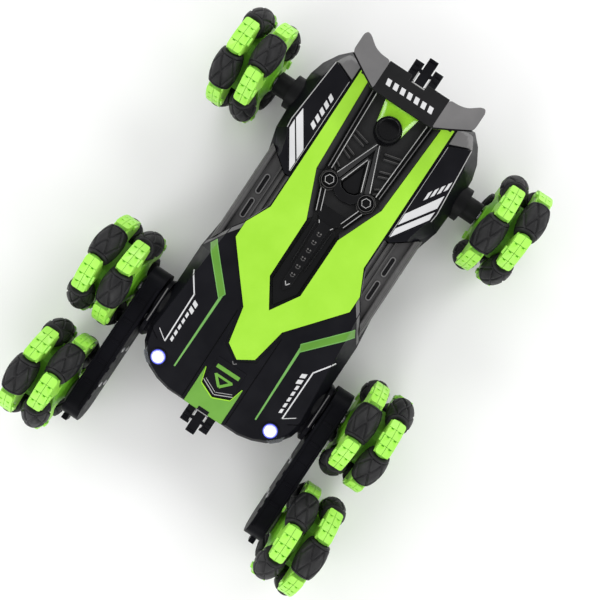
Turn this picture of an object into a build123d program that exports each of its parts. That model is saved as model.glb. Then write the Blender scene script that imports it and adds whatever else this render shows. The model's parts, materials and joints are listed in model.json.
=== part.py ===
from build123d import *
from math import acos, atan2, cos, degrees, pi, radians, sin, sqrt, tan
import os

# Six-wheeled stunt car. Millimetres; +X is forward, +Y is the car's left, +Z is up.
# The origin is on the floor, under the middle of the car's overall box.
# Two swinging arms carry the middle and front wheels. Every wheel is an omni wheel:
# two rows of four barrel rollers, each free to turn in a lime hub.

# ---- running gear ----
AXLE_Z = 37.0
REAR_X = -112.0
PIVOT_X = 56.0
ARM_LENGTH = 84.0
FRONT_X = PIVOT_X + ARM_LENGTH
WHEEL_Y = 102.0

# ---- omni wheel ----
WHEEL_R = 37.0
ROW_OFFSET = 9.7
ROLLERS_PER_ROW = 4
ROLLER_ORBIT = 27.5
ROLLER_HALF = 12.2
ROLLER_PIN_R = 1.5
ROLLER_PIN_LENGTH = 2.0
PAD_R = 35.5
PAD_WIDTH = 10.6
PAD_PLANE = 12.5
HUB_CORE_HALF = 17.2
HUB_CORE_R = 21.0
HALF_SPLIT = 0.1
HUB_FACE = 18.6
HUB_CONE_R = 14.0
HUB_NOSE_R = 8.0
# Turn of the inner row's first roller from straight up, towards the tail, at rest.
ROW_PHASE = {
    "rear_left": -24.0,
    "rear_right": 11.0,
    "mid_left": 17.0,
    "mid_right": -17.0,
    "front_left": 45.0,
    "front_right": 36.0,
}

# ---- fits ----
RUNNING = 0.08
GAP = 0.3

# ---- shafts and gears ----
SHAFT_R = 3.0
SHAFT_END_Y = WHEEL_Y + HUB_FACE - 1.0
GEAR_MODULE = 1.0
PRESSURE_ANGLE = radians(20)
BACKLASH = 0.30
TRAIN_TEETH = 21
DRIVE_TEETH = 24
PINION_TEETH = 12
TRAIN_GEAR_Y = 71.8
DRIVE_GEAR_Y = 41.0
GEAR_WIDTH = 5.0
SHAFT_START_Y = 35.0
PINION_REACH = GEAR_MODULE * (DRIVE_TEETH + PINION_TEETH) / 2
IDLERS_PER_ARM = 3
IDLER_PIN_R = 2.0
IDLER_PIN_REACH = 5.0
MOTOR_R = 10.0
MOTOR_START_Y = 10.0
MOTOR_END_Y = 36.0
MOTOR_SHAFT_R = 1.0
MOTOR_SHAFT_DEPTH = 4.0
PLATE_THICK = 3.0
PLATE_LENGTH = 34.0
PLATE_TOP_Z = 50.0

# ---- swinging arm ----
ARM_INNER_Y = 68.0
ARM_SPLIT_Y = 74.3
ARM_OUTER_Y = 80.6
ARM_HALF_HEIGHT = 14.0
ARM_BEHIND = 18.0
ARM_AHEAD = 16.0
ARM_CAVITY_HALF = 12.0
ARM_CAVITY_DEPTH = 3.0
ARM_TUBE_R = 9.0
ARM_TUBE_END_Y = 48.0
ARM_NUB = 4.0
ARM_COLLAR_R = 6.0
ARM_COLLAR_Y = 82.0

# ---- body ----
FLOOR_Z = 14.0
FLOOR_TOP_Z = 17.0
SHELL_LOW_Z = 24.0
BELT_Z = 44.0
ROOF_Z = 62.0
NOSE_Z = 47.0
HOOD_BREAK_X = 12.5
NOSE_X = 103.5
TAIL_X = -156.0
WALL = 2.0
ROOF_INSET = 10.0
BODY_REACH = 70.0
TUB_INSET = 2.5
TUB_TOP_Z = 34.0
BOSS_START_Y = 50.0
PIVOT_BOSS_Y = 67.2
# Left half of the body's plan, from tail to nose.
BODY_HALF = [
    (TAIL_X, 49.5),
    (-148.8, 56.5),
    (-138.5, 62.5),
    (-128.0, 65.5),
    (-112.0, 66.3),
    (-85.0, 65.0),
    (-69.0, 60.5),
    (-12.5, 60.5),
    (9.5, 63.0),
    (72.5, 63.0),
    (84.5, 59.3),
    (91.5, 54.2),
    (97.2, 47.7),
    (101.3, 38.3),
    (NOSE_X, 28.0),
]
# Left half of the lime cover's outline and of the black engine bay inside it.
COVER_HALF = [(-143.5, 36.4), (-36.5, 36.4), (-19.5, 44.6), (-7.5, 44.6), (28.1, 15.2), (53.3, 10.3)]
COVER_TIP_X = 59.9
BAY_HALF = [(-139.5, 28.7), (-74.0, 25.5), (-42.2, 12.3), (1.5, 12.0)]
BAY_TIP_X = 20.8
COVER_THICK = 1.4
BAY_FLOOR_Z = 57.0
BAY_FLOOR_THICK = 2.0

# ---- fittings on the body ----
CAP_X = -120.5
CAP_R = 9.0
BOLT_X = -72.5
BOLT_Y = 14.3
BOLT_R = 6.6
TRUSS_APEX_X = -109.0
# End clips: each is a springy tongue between two ears.
CLIP_TONGUE_WIDTH = 6.7
CLIP_EAR_OUT = 10.8
CLIP_SLOT_WIDTH = 1.0
NOSE_CLIP_Z = 36.0
NOSE_CLIP_THICK = 6.0
NOSE_SLOT_X = 105.0
NOSE_EAR_X = 115.5
NOSE_TONGUE_X = 120.0
TAIL_CLIP_Z = 50.5
TAIL_CLIP_THICK = 6.0
TAIL_ROOT_X = -149.0
TAIL_SLOT_X = -158.0
TAIL_EAR_X = -171.7
TAIL_TONGUE_X = -177.0
WING_Z = 82.0
WING_THICK = 3.0
# Left half of the wing's outline in plan, from its front edge round its swept tip.
WING_REAR_X = -152.7
WING_HALF = [(-131.5, 22.5), (-144.0, 45.5), (-160.0, 45.5), (-153.5, 33.0), (WING_REAR_X, 22.5)]
AXLE_BOSS_R = 12.2
AXLE_BOSS_Y = 71.0
AXLE_SNOUT_R = 8.0
AXLE_SNOUT_Y = 82.0
CAP_STEM_R = 5.0
CAP_TOP_Z = 66.0
BOLT_SHANK_R = 2.0
TRUSS_HALF = 2.2
TRUSS_Z = 61.0
SPINE_FROM_X = -62.0
SPINE_TO_X = 1.0
SPINE_HALF = 5.0
SPINE_Z = 63.0
SPINE_SLOT_PITCH = 9.0
SPINE_SLOT_LENGTH = 5.0
SPINE_SLOT_WIDTH = 2.2
SPINE_SLOTS = 6
RIB_PITCH = 9.0
RIB_WIDTH = 3.0
RIB_Y = 21.0
RIB_LENGTH = 8.0
RIB_TALL = 2.0
BOLT_HEAD = 3.0
BOLT_SOCKET_R = 3.6
BOLT_SOCKET_DEPTH = 2.2
WING_STRUT_X = -140.2
WING_STRUT_Y = 31.0
WING_STRUT_LENGTH = 6.2
WING_STRUT_WIDTH = 3.5
LAMP_X = 87.0
LAMP_Y = 47.0
LAMP_LENGTH = 17.0
LAMP_WIDTH = 17.0
LAMP_LOW_Z = 36.0
LAMP_TOP_Z = 48.0
LED_R = 2.5
LED_TALL = 8.0
LED_INSET = 3.0
HATCH_X = -33.0
HATCH_LENGTH = 76.0
HATCH_WIDTH = 34.0
HATCH_THICK = 2.4
BATTERY_END_ROOM = 12.0
BATTERY_SIDE_ROOM = 6.0
BATTERY_TOP_Z = 38.0
BATTERY_ROUND = 4.0
# The power switch slides SWITCH_TRAVEL towards the tail in a slot through the floor.
SWITCH_X = -18.5
SWITCH_Y = 34.0
SWITCH_LENGTH = 6.0
SWITCH_WIDTH = 4.0
SWITCH_TRAVEL = 3.0
SWITCH_PLAY = 0.4
SWITCH_FLANGE = 3.5
SWITCH_FLANGE_THICK = 1.2
SCREW_PLACES = [
    (-140.0, 40.0),
    (-140.0, -40.0),
    (-55.0, 46.0),
    (-55.0, -46.0),
    (80.0, 42.0),
    (80.0, -42.0),
]
SCREW_R = 1.2
SCREW_HEAD_R = 2.4
SCREW_HEAD_DEPTH = 1.6
SCREW_POST_R = 3.6
SCREW_TOP_Z = 28.0
BOARD_X = -33.0
BOARD_LENGTH = 60.0
BOARD_WIDTH = 40.0
BOARD_Z = 46.0
BOARD_THICK = 1.6
CHIP_PLACES = [(BOARD_X - 8, 6), (BOARD_X + 10, -8)]
CHIP_LENGTH = 9.0
CHIP_WIDTH = 7.0
CHIP_TALL = 1.4

SIDES = (("left", 1), ("right", -1))
WHEEL_X = {"rear": REAR_X, "mid": PIVOT_X, "front": FRONT_X}


def mirrored(half, *centre_points):
    """Closed plan outline from its left half, with any points that lie on the centre line last."""
    right = [(x, -y) for x, y in reversed(half)]
    return [*half, *centre_points, *right]


def involute(angle):
    return tan(angle) - angle


def gear_outline(teeth, turn):
    """Corners of a spur gear with one tooth pointing at the angle turn, in degrees."""
    pitch_r = GEAR_MODULE * teeth / 2
    base_r = pitch_r * cos(PRESSURE_ANGLE)
    root_r = pitch_r - 1.2 * GEAR_MODULE
    tip_r = pitch_r + 0.85 * GEAR_MODULE
    half_at_pitch = pi / (2 * teeth) - BACKLASH / (4 * pitch_r)
    flank = []
    for step in range(5):
        radius = root_r + (tip_r - root_r) * step / 4
        pressure = acos(min(1.0, base_r / radius))
        flank.append((radius, half_at_pitch + involute(PRESSURE_ANGLE) - involute(pressure)))
    corners = []
    for tooth in range(teeth):
        middle = radians(turn) + 2 * pi * tooth / teeth
        for radius, half in flank:
            corners.append((radius * cos(middle - half), radius * sin(middle - half)))
        for radius, half in reversed(flank):
            corners.append((radius * cos(middle + half), radius * sin(middle + half)))
    return corners


def facing_out(x, y, z, side):
    """Sketch plane that faces away from the car's middle, with sketch y up."""
    return Plane(origin=(x, side * y, z), x_dir=(-side, 0, 0), z_dir=(0, side, 0))


def row_angle(wheel, row, index):
    """Angle of a roller from straight up towards the tail; row is 0 inside and 1 outside."""
    step = 360 / ROLLERS_PER_ROW
    return ROW_PHASE[wheel] + row * step / 2 + index * step


def lowest_index(wheel, row):
    """Which roller of a row is nearest the floor."""
    return max(range(ROLLERS_PER_ROW), key=lambda index: -cos(radians(row_angle(wheel, row, index))))


def roller_plane(wheel, side, row, index):
    """Plane at a roller's centre: its x runs along the roller's pins, its y points off the wheel."""
    turn = radians(row_angle(wheel, row, index))
    axle_x = WHEEL_X[wheel.split("_")[0]]
    row_y = side * (WHEEL_Y + ROW_OFFSET * (2 * row - 1))
    centre = (axle_x - ROLLER_ORBIT * sin(turn), row_y, AXLE_Z + ROLLER_ORBIT * cos(turn))
    return Plane(origin=centre, x_dir=(cos(turn), 0, sin(turn)), z_dir=(0, -1, 0))


def write(piece, name):
    piece.part.label = name
    export_step(piece.part, f"parts/{name}.step")


# ---- omni wheels ----
# One roller at the origin with its pins along X. Its barrel is an arc of the wheel's own rim,
# so the wheel rolls as a true circle.
roller_end_r = sqrt(WHEEL_R**2 - ROLLER_HALF**2) - ROLLER_ORBIT
pin_end = ROLLER_HALF + ROLLER_PIN_LENGTH
with BuildPart() as roller:
    with BuildSketch(Plane.XY):
        with BuildLine():
            ThreePointArc(
                (-ROLLER_HALF, roller_end_r),
                (0, WHEEL_R - ROLLER_ORBIT),
                (ROLLER_HALF, roller_end_r),
            )
            Polyline(
                (ROLLER_HALF, roller_end_r),
                (ROLLER_HALF, ROLLER_PIN_R),
                (pin_end, ROLLER_PIN_R),
                (pin_end, 0),
                (-pin_end, 0),
                (-pin_end, ROLLER_PIN_R),
                (-ROLLER_HALF, ROLLER_PIN_R),
                (-ROLLER_HALF, roller_end_r),
            )
        make_face()
    revolve(axis=Axis.X)


def hub_half(wheel, side, row):
    """Add one row's moulding: a square core, four padded blocks, a cone and the roller sockets."""
    turn = radians(row_angle(wheel, row, 0))
    out = side * (2 * row - 1)
    axle = (WHEEL_X[wheel.split("_")[0]], side * WHEEL_Y, AXLE_Z)
    middle = Plane(origin=axle, x_dir=(cos(turn), 0, sin(turn)), z_dir=(0, out, 0))
    pad_start = ROW_OFFSET - PAD_WIDTH / 2
    pad_end = ROW_OFFSET + PAD_WIDTH / 2
    with BuildSketch(middle.offset(HALF_SPLIT)) as core:
        Rectangle(2 * HUB_CORE_HALF, 2 * HUB_CORE_HALF)
        Circle(HUB_CORE_R, mode=Mode.INTERSECT)
    extrude(core.sketch, amount=pad_end - HALF_SPLIT)
    with BuildSketch(middle.offset(pad_start)) as pads:
        Circle(PAD_R)
        Rectangle(2 * PAD_PLANE, 2 * PAD_R, mode=Mode.SUBTRACT)
        Rectangle(2 * PAD_R, 2 * PAD_PLANE, mode=Mode.SUBTRACT)
    extrude(pads.sketch, amount=PAD_WIDTH)
    with BuildSketch(middle.offset(pad_end)) as cone_foot:
        Circle(HUB_CONE_R)
    with BuildSketch(middle.offset(HUB_FACE)) as cone_nose:
        Circle(HUB_NOSE_R)
    loft([cone_foot.sketch, cone_nose.sketch])
    for index in range(ROLLERS_PER_ROW):
        place = roller_plane(wheel, side, row, index)
        with Locations(Plane(origin=place.origin, z_dir=place.x_dir)):
            Cylinder(ROLLER_PIN_R + RUNNING, 2 * (pin_end + GAP), mode=Mode.SUBTRACT)


def wheel_nodes(axle, name, side):
    """Write a wheel's hub, the two rollers nearest the floor, and its other six rollers."""
    wheel = f"{axle}_{name}"
    with BuildPart() as hub:
        hub_half(wheel, side, 0)
        hub_half(wheel, side, 1)
        rod(WHEEL_X[axle], WHEEL_Y - HUB_FACE - 1, WHEEL_Y + HUB_FACE + 1, SHAFT_R, side, Mode.SUBTRACT)
    write(hub, f"{wheel}_hub")
    others = []
    for row, row_name in enumerate(("inner", "outer")):
        lowest = lowest_index(wheel, row)
        for index in range(ROLLERS_PER_ROW):
            place = roller_plane(wheel, side, row, index)
            if index != lowest:
                others.append(place)
                continue
            with BuildPart() as floor_roller:
                with Locations(place):
                    add(roller.part)
            write(floor_roller, f"{wheel}_{row_name}_floor_roller")
            print(wheel, row_name, "roller at", place.origin, "pins along", place.x_dir)
    with BuildPart() as upper_rollers:
        with Locations(*others):
            add(roller.part)
    write(upper_rollers, f"{wheel}_other_rollers")


# ---- shafts, gears and swinging arms ----
def gear(teeth, x, y, side, turn=0.0):
    """Add a spur gear whose inner face is at y, with a tooth at the angle turn from straight ahead."""
    plane = Plane(origin=(x, side * y, AXLE_Z), x_dir=(1, 0, 0), z_dir=(0, side, 0))
    with BuildSketch(plane) as outline:
        Polygon(*gear_outline(teeth, turn), align=None)
    extrude(outline.sketch, amount=GEAR_WIDTH)


def rod(x, y_from, y_to, radius, side, mode=Mode.ADD):
    """Add or cut a round bar across the car at axle height."""
    with BuildSketch(facing_out(x, y_from, AXLE_Z, side)) as section:
        Circle(radius)
    extrude(section.sketch, amount=y_to - y_from, mode=mode)


def idler_places():
    return [PIVOT_X + GEAR_MODULE * TRAIN_TEETH * (index + 1) for index in range(IDLERS_PER_ARM)]


def shaft_nodes(name, side):
    """Write the three wheel shafts with their moulded gears, the idlers and the motor pinions."""
    with BuildPart() as rear_shaft:
        rod(REAR_X, SHAFT_START_Y, SHAFT_END_Y, SHAFT_R, side)
        gear(DRIVE_TEETH, REAR_X, DRIVE_GEAR_Y, side)
    write(rear_shaft, f"rear_{name}_shaft")
    with BuildPart() as mid_shaft:
        rod(PIVOT_X, SHAFT_START_Y, SHAFT_END_Y, SHAFT_R, side)
        gear(DRIVE_TEETH, PIVOT_X, DRIVE_GEAR_Y, side)
        gear(TRAIN_TEETH, PIVOT_X, TRAIN_GEAR_Y, side)
    write(mid_shaft, f"mid_{name}_shaft")
    with BuildPart() as front_shaft:
        rod(FRONT_X, ARM_INNER_Y + 2, SHAFT_END_Y, SHAFT_R, side)
        gear(TRAIN_TEETH, FRONT_X, TRAIN_GEAR_Y, side)
    write(front_shaft, f"front_{name}_shaft")
    for number, idler_x in enumerate(idler_places(), start=1):
        with BuildPart() as idler:
            gear(TRAIN_TEETH, idler_x, TRAIN_GEAR_Y, side)
            rod(idler_x, ARM_SPLIT_Y - IDLER_PIN_REACH, ARM_SPLIT_Y + IDLER_PIN_REACH, IDLER_PIN_R, side)
        write(idler, f"{name}_idler_gear_{number}")
    # A pinion has a gap where its wheel's gear has a tooth, straight towards the gear.
    half_tooth = 180 / PINION_TEETH
    for axle, pinion_x in (("rear", REAR_X + PINION_REACH), ("mid", PIVOT_X - PINION_REACH)):
        with BuildPart() as pinion:
            gear(PINION_TEETH, pinion_x, DRIVE_GEAR_Y, side, half_tooth)
            rod(pinion_x, MOTOR_END_Y - MOTOR_SHAFT_DEPTH, DRIVE_GEAR_Y, MOTOR_SHAFT_R, side)
        write(pinion, f"{axle}_{name}_motor_pinion")


def arm_bar(side, half_height, behind, ahead):
    """Rounded bar in side view, in a sketch midway between the arm's two shafts."""
    with Locations((-side * (ahead - behind) / 2, 0)):
        RectangleRounded(ARM_LENGTH + behind + ahead, 2 * half_height, half_height - 1)


def arm_half(y_from, y_to, side):
    """Add one half of the arm's gear case and cut its side of the gear cavity."""
    middle_x = PIVOT_X + ARM_LENGTH / 2
    cavity = ARM_CAVITY_DEPTH * (1 if y_to > y_from else -1)
    with BuildSketch(facing_out(middle_x, y_from, AXLE_Z, side)) as outside:
        arm_bar(side, ARM_HALF_HEIGHT, ARM_BEHIND, ARM_AHEAD)
    extrude(outside.sketch, amount=y_to - y_from)
    with BuildSketch(facing_out(middle_x, y_from, AXLE_Z, side)) as inside:
        arm_bar(side, ARM_CAVITY_HALF, ARM_CAVITY_HALF, ARM_CAVITY_HALF)
    extrude(inside.sketch, amount=cavity, mode=Mode.SUBTRACT)
    socket = IDLER_PIN_REACH + GAP
    for idler_x in idler_places():
        socket_end = y_from + (socket if y_to > y_from else -socket)
        rod(idler_x, y_from, socket_end, IDLER_PIN_R + RUNNING, side, Mode.SUBTRACT)


def arm_nodes(name, side):
    """Write the two halves of an arm's gear case; the inner one carries the pivot tube."""
    with BuildPart() as inner_case:
        arm_half(ARM_SPLIT_Y, ARM_INNER_Y, side)
        rod(PIVOT_X, ARM_TUBE_END_Y, ARM_INNER_Y + 1, ARM_TUBE_R, side)
        rod(PIVOT_X, ARM_TUBE_END_Y, ARM_SPLIT_Y, SHAFT_R + RUNNING, side, Mode.SUBTRACT)
        rod(FRONT_X, ARM_INNER_Y + 1.5, ARM_SPLIT_Y, SHAFT_R + RUNNING, side, Mode.SUBTRACT)
    write(inner_case, f"{name}_arm_inner_case")
    with BuildPart() as outer_case:
        arm_half(ARM_SPLIT_Y, ARM_OUTER_Y, side)
        with BuildSketch(facing_out(FRONT_X + ARM_AHEAD, ARM_SPLIT_Y, AXLE_Z, side)):
            Rectangle(2 * ARM_NUB, 2 * ARM_NUB)
        extrude(amount=ARM_NUB)
        for shaft_x in (PIVOT_X, FRONT_X):
            rod(shaft_x, ARM_OUTER_Y - 1, ARM_COLLAR_Y, ARM_COLLAR_R, side)
            rod(shaft_x, ARM_SPLIT_Y, ARM_COLLAR_Y, SHAFT_R + RUNNING, side, Mode.SUBTRACT)
    write(outer_case, f"{name}_arm_outer_case")


for side_name, side_sign in SIDES:
    for axle_name in WHEEL_X:
        wheel_nodes(axle_name, side_name, side_sign)
    shaft_nodes(side_name, side_sign)
    arm_nodes(side_name, side_sign)


# ---- upper shell ----
def plan_sketch(inset):
    """The body's outline in plan, drawn in by inset."""
    Polygon(*mirrored(BODY_HALF), align=None)
    if inset:
        offset(amount=-inset, kind=Kind.INTERSECTION)


def slab(outline, z_from, z_to, mode=Mode.ADD):
    """Add or cut an upright prism from a plan outline."""
    with BuildSketch(Plane.XY.offset(z_from)) as section:
        Polygon(*outline, align=None)
    extrude(section.sketch, amount=z_to - z_from, mode=mode)


def blocks(places, length, width, z_from, z_to, mode=Mode.ADD):
    """Add or cut equal rectangular blocks, length along the car, centred on places in plan."""
    with BuildSketch(Plane.XY.offset(z_from)) as section:
        with Locations(*places):
            Rectangle(length, width)
    extrude(section.sketch, amount=z_to - z_from, mode=mode)


def pegs(places, radius, z_from, z_to, mode=Mode.ADD):
    """Add or cut upright cylinders centred on places in plan."""
    with BuildSketch(Plane.XY.offset(z_from)) as section:
        with Locations(*places):
            Circle(radius)
    extrude(section.sketch, amount=z_to - z_from, mode=mode)


def roof_line(drop, low):
    """Side view of the body under its roof and hood, lowered by drop, down to the height low."""
    return [
        (TAIL_X - 1, low),
        (NOSE_X + 1, low),
        (NOSE_X + 1, NOSE_Z - drop),
        (HOOD_BREAK_X, ROOF_Z - drop),
        (TAIL_X + 6, ROOF_Z - drop),
        (TAIL_X - 1, ROOF_Z - drop - 5),
    ]


def end_clip(root_x, slot_x, ear_x, tongue_x, z_from, z_to):
    """Add a clip: two ears from root_x to ear_x, slots beside the tongue, and the longer tongue."""
    ear_length = abs(ear_x - root_x)
    slot_length = abs(ear_x - slot_x)
    slot_y = (CLIP_TONGUE_WIDTH + CLIP_SLOT_WIDTH) / 2
    slot_middle = (slot_x + ear_x) / 2
    slot_places = [(slot_middle, slot_y), (slot_middle, -slot_y)]
    blocks([((root_x + ear_x) / 2, 0)], ear_length, 2 * CLIP_EAR_OUT, z_from, z_to)
    blocks(slot_places, slot_length, CLIP_SLOT_WIDTH, z_from, z_to, Mode.SUBTRACT)
    blocks([((slot_x + tongue_x) / 2, 0)], abs(tongue_x - slot_x), CLIP_TONGUE_WIDTH, z_from, z_to)


def keep_under(outline):
    """Keep only what lies inside a side-view outline."""
    with BuildSketch(Plane.XZ.offset(-BODY_REACH)) as profile:
        Polygon(*outline, align=None)
    extrude(profile.sketch, amount=2 * BODY_REACH, mode=Mode.INTERSECT)


def body_form(inset, low):
    """Add the solid inside the body's outer surface, drawn in by inset on every side."""
    with BuildSketch(Plane.XY.offset(low)) as foot:
        plan_sketch(inset)
    extrude(foot.sketch, amount=BELT_Z - low)
    with BuildSketch(Plane.XY.offset(BELT_Z)) as belt:
        plan_sketch(inset)
    with BuildSketch(Plane.XY.offset(ROOF_Z)) as roof:
        plan_sketch(inset + ROOF_INSET)
    loft([belt.sketch, roof.sketch], ruled=True)
    keep_under(roof_line(inset, low))


with BuildPart() as inner_form:
    body_form(WALL, SHELL_LOW_Z - 1)

bay_outline = mirrored(BAY_HALF, (BAY_TIP_X, 0))
cover_outline = mirrored(COVER_HALF, (COVER_TIP_X, 0))

with BuildPart() as upper_shell:
    body_form(0, SHELL_LOW_Z)
    add(inner_form.part, mode=Mode.SUBTRACT)
    slab(bay_outline, BELT_Z, ROOF_Z, Mode.SUBTRACT)
    # Slots through which the axle bosses leave the shell, open at the bottom.
    for axle_x in (REAR_X, PIVOT_X):
        with BuildSketch(Plane.XZ.offset(-BODY_REACH)):
            with Locations((axle_x, AXLE_Z)):
                Circle(AXLE_BOSS_R + GAP)
            with Locations((axle_x, AXLE_Z - AXLE_BOSS_R)):
                Rectangle(2 * (AXLE_BOSS_R + GAP), 2 * AXLE_BOSS_R)
        extrude(amount=2 * BODY_REACH, mode=Mode.SUBTRACT)
    # Lamp pockets at the front corners.
    lamp_places = [(LAMP_X, LAMP_Y), (LAMP_X, -LAMP_Y)]
    blocks(lamp_places, LAMP_LENGTH, LAMP_WIDTH, LAMP_LOW_Z, LAMP_TOP_Z, Mode.SUBTRACT)
    nose_clip_top = NOSE_CLIP_Z + NOSE_CLIP_THICK
    end_clip(NOSE_X - WALL, NOSE_SLOT_X, NOSE_EAR_X, NOSE_TONGUE_X, NOSE_CLIP_Z, nose_clip_top)
    tail_clip_top = TAIL_CLIP_Z + TAIL_CLIP_THICK
    end_clip(TAIL_ROOT_X, TAIL_SLOT_X, TAIL_EAR_X, TAIL_TONGUE_X, TAIL_CLIP_Z, tail_clip_top)
write(upper_shell, "upper_shell")

with BuildPart() as lime_cover:
    slab(cover_outline, BELT_Z, ROOF_Z + 10)
    slab(bay_outline, BELT_Z, ROOF_Z + 10, Mode.SUBTRACT)
    keep_under([
        (TAIL_X + 7, ROOF_Z),
        (HOOD_BREAK_X, ROOF_Z),
        (NOSE_X + 1, NOSE_Z),
        (NOSE_X + 1, NOSE_Z + COVER_THICK),
        (HOOD_BREAK_X, ROOF_Z + COVER_THICK),
        (TAIL_X + 7, ROOF_Z + COVER_THICK),
    ])
write(lime_cover, "lime_cover")

# ---- engine bay ----
with BuildPart() as engine_deck:
    with BuildSketch(Plane.XY.offset(BAY_FLOOR_Z - BAY_FLOOR_THICK)):
        Polygon(*bay_outline, align=None)
    extrude(amount=BAY_FLOOR_THICK)
    # Spine with a row of cooling slots, running forward from the bay.
    spine_middle = (SPINE_FROM_X + SPINE_TO_X) / 2
    blocks([(spine_middle, 0)], SPINE_TO_X - SPINE_FROM_X, 2 * SPINE_HALF, BAY_FLOOR_Z, SPINE_Z)
    first_slot_x = spine_middle - SPINE_SLOT_PITCH * (SPINE_SLOTS - 1) / 2
    slots = [(first_slot_x + SPINE_SLOT_PITCH * step, 0) for step in range(SPINE_SLOTS)]
    blocks(slots, SPINE_SLOT_LENGTH, SPINE_SLOT_WIDTH, SPINE_Z - 1, SPINE_Z, Mode.SUBTRACT)
    # Braces in a V from the apex behind to the two hex bolts.
    for _, side_sign in SIDES:
        brace_run = Vector(BOLT_X - TRUSS_APEX_X, side_sign * BOLT_Y)
        brace_turn = degrees(atan2(brace_run.Y, brace_run.X))
        with BuildSketch(Plane.XY.offset(BAY_FLOOR_Z)):
            with Locations((TRUSS_APEX_X + brace_run.X / 2, brace_run.Y / 2)):
                SlotCenterToCenter(brace_run.length, 2 * TRUSS_HALF, rotation=brace_turn)
        extrude(amount=TRUSS_Z - BAY_FLOOR_Z)
    for rib in range(4):
        rib_x = TRUSS_APEX_X + RIB_PITCH * rib + 2 * RIB_WIDTH
        rib_places = [(rib_x, RIB_Y), (rib_x, -RIB_Y)]
        blocks(rib_places, RIB_WIDTH, RIB_LENGTH, BAY_FLOOR_Z, BAY_FLOOR_Z + RIB_TALL)
    pegs([(CAP_X, 0)], CAP_STEM_R, BAY_FLOOR_Z, BAY_FLOOR_Z + RIB_TALL)
    bolt_places = [(BOLT_X, BOLT_Y), (BOLT_X, -BOLT_Y)]
    pegs(bolt_places, BOLT_SHANK_R, BAY_FLOOR_Z - BAY_FLOOR_THICK, TRUSS_Z, Mode.SUBTRACT)
write(engine_deck, "engine_deck")

with BuildPart() as filler_cap:
    pegs([(CAP_X, 0)], CAP_R, BAY_FLOOR_Z + RIB_TALL, CAP_TOP_Z)
    chamfer(filler_cap.edges().group_by(Axis.Z)[-1], 1.2)
write(filler_cap, "filler_cap")

with BuildPart() as deck_bolts:
    pegs(bolt_places, BOLT_R, TRUSS_Z, TRUSS_Z + BOLT_HEAD)
    pegs(bolt_places, BOLT_SHANK_R, BAY_FLOOR_Z - BAY_FLOOR_THICK, TRUSS_Z)
    with BuildSketch(Plane.XY.offset(TRUSS_Z + BOLT_HEAD)):
        with Locations(*bolt_places):
            RegularPolygon(BOLT_SOCKET_R, 6)
    extrude(amount=-BOLT_SOCKET_DEPTH, mode=Mode.SUBTRACT)
write(deck_bolts, "deck_bolts")

# ---- rear wing ----
with BuildPart() as rear_spoiler:
    wing_top = WING_Z + WING_THICK
    slab(mirrored(WING_HALF), WING_Z, wing_top)
    fillet(rear_spoiler.edges().filter_by(Axis.Z), 1.5)
    strut_places = [(WING_STRUT_X, WING_STRUT_Y), (WING_STRUT_X, -WING_STRUT_Y)]
    blocks(strut_places, WING_STRUT_LENGTH, WING_STRUT_WIDTH, ROOF_Z + COVER_THICK, WING_Z)
write(rear_spoiler, "rear_spoiler")

# ---- lamps ----
led_places = [(LAMP_X - LED_INSET, LAMP_Y - LED_INSET), (LAMP_X - LED_INSET, LED_INSET - LAMP_Y)]
with BuildPart() as headlight_lenses:
    blocks(lamp_places, LAMP_LENGTH, LAMP_WIDTH, LAMP_LOW_Z, LAMP_TOP_Z)
    keep_under(roof_line(0, SHELL_LOW_Z))
    with BuildSketch(Plane.XY.offset(SHELL_LOW_Z)):
        plan_sketch(0)
    extrude(amount=ROOF_Z, mode=Mode.INTERSECT)
    pegs(led_places, LED_R, LAMP_LOW_Z, LAMP_LOW_Z + LED_TALL, Mode.SUBTRACT)
write(headlight_lenses, "headlight_lenses")

with BuildPart() as headlight_leds:
    pegs(led_places, LED_R, LAMP_LOW_Z, LAMP_LOW_Z + LED_TALL)
write(headlight_leds, "headlight_leds")

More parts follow.
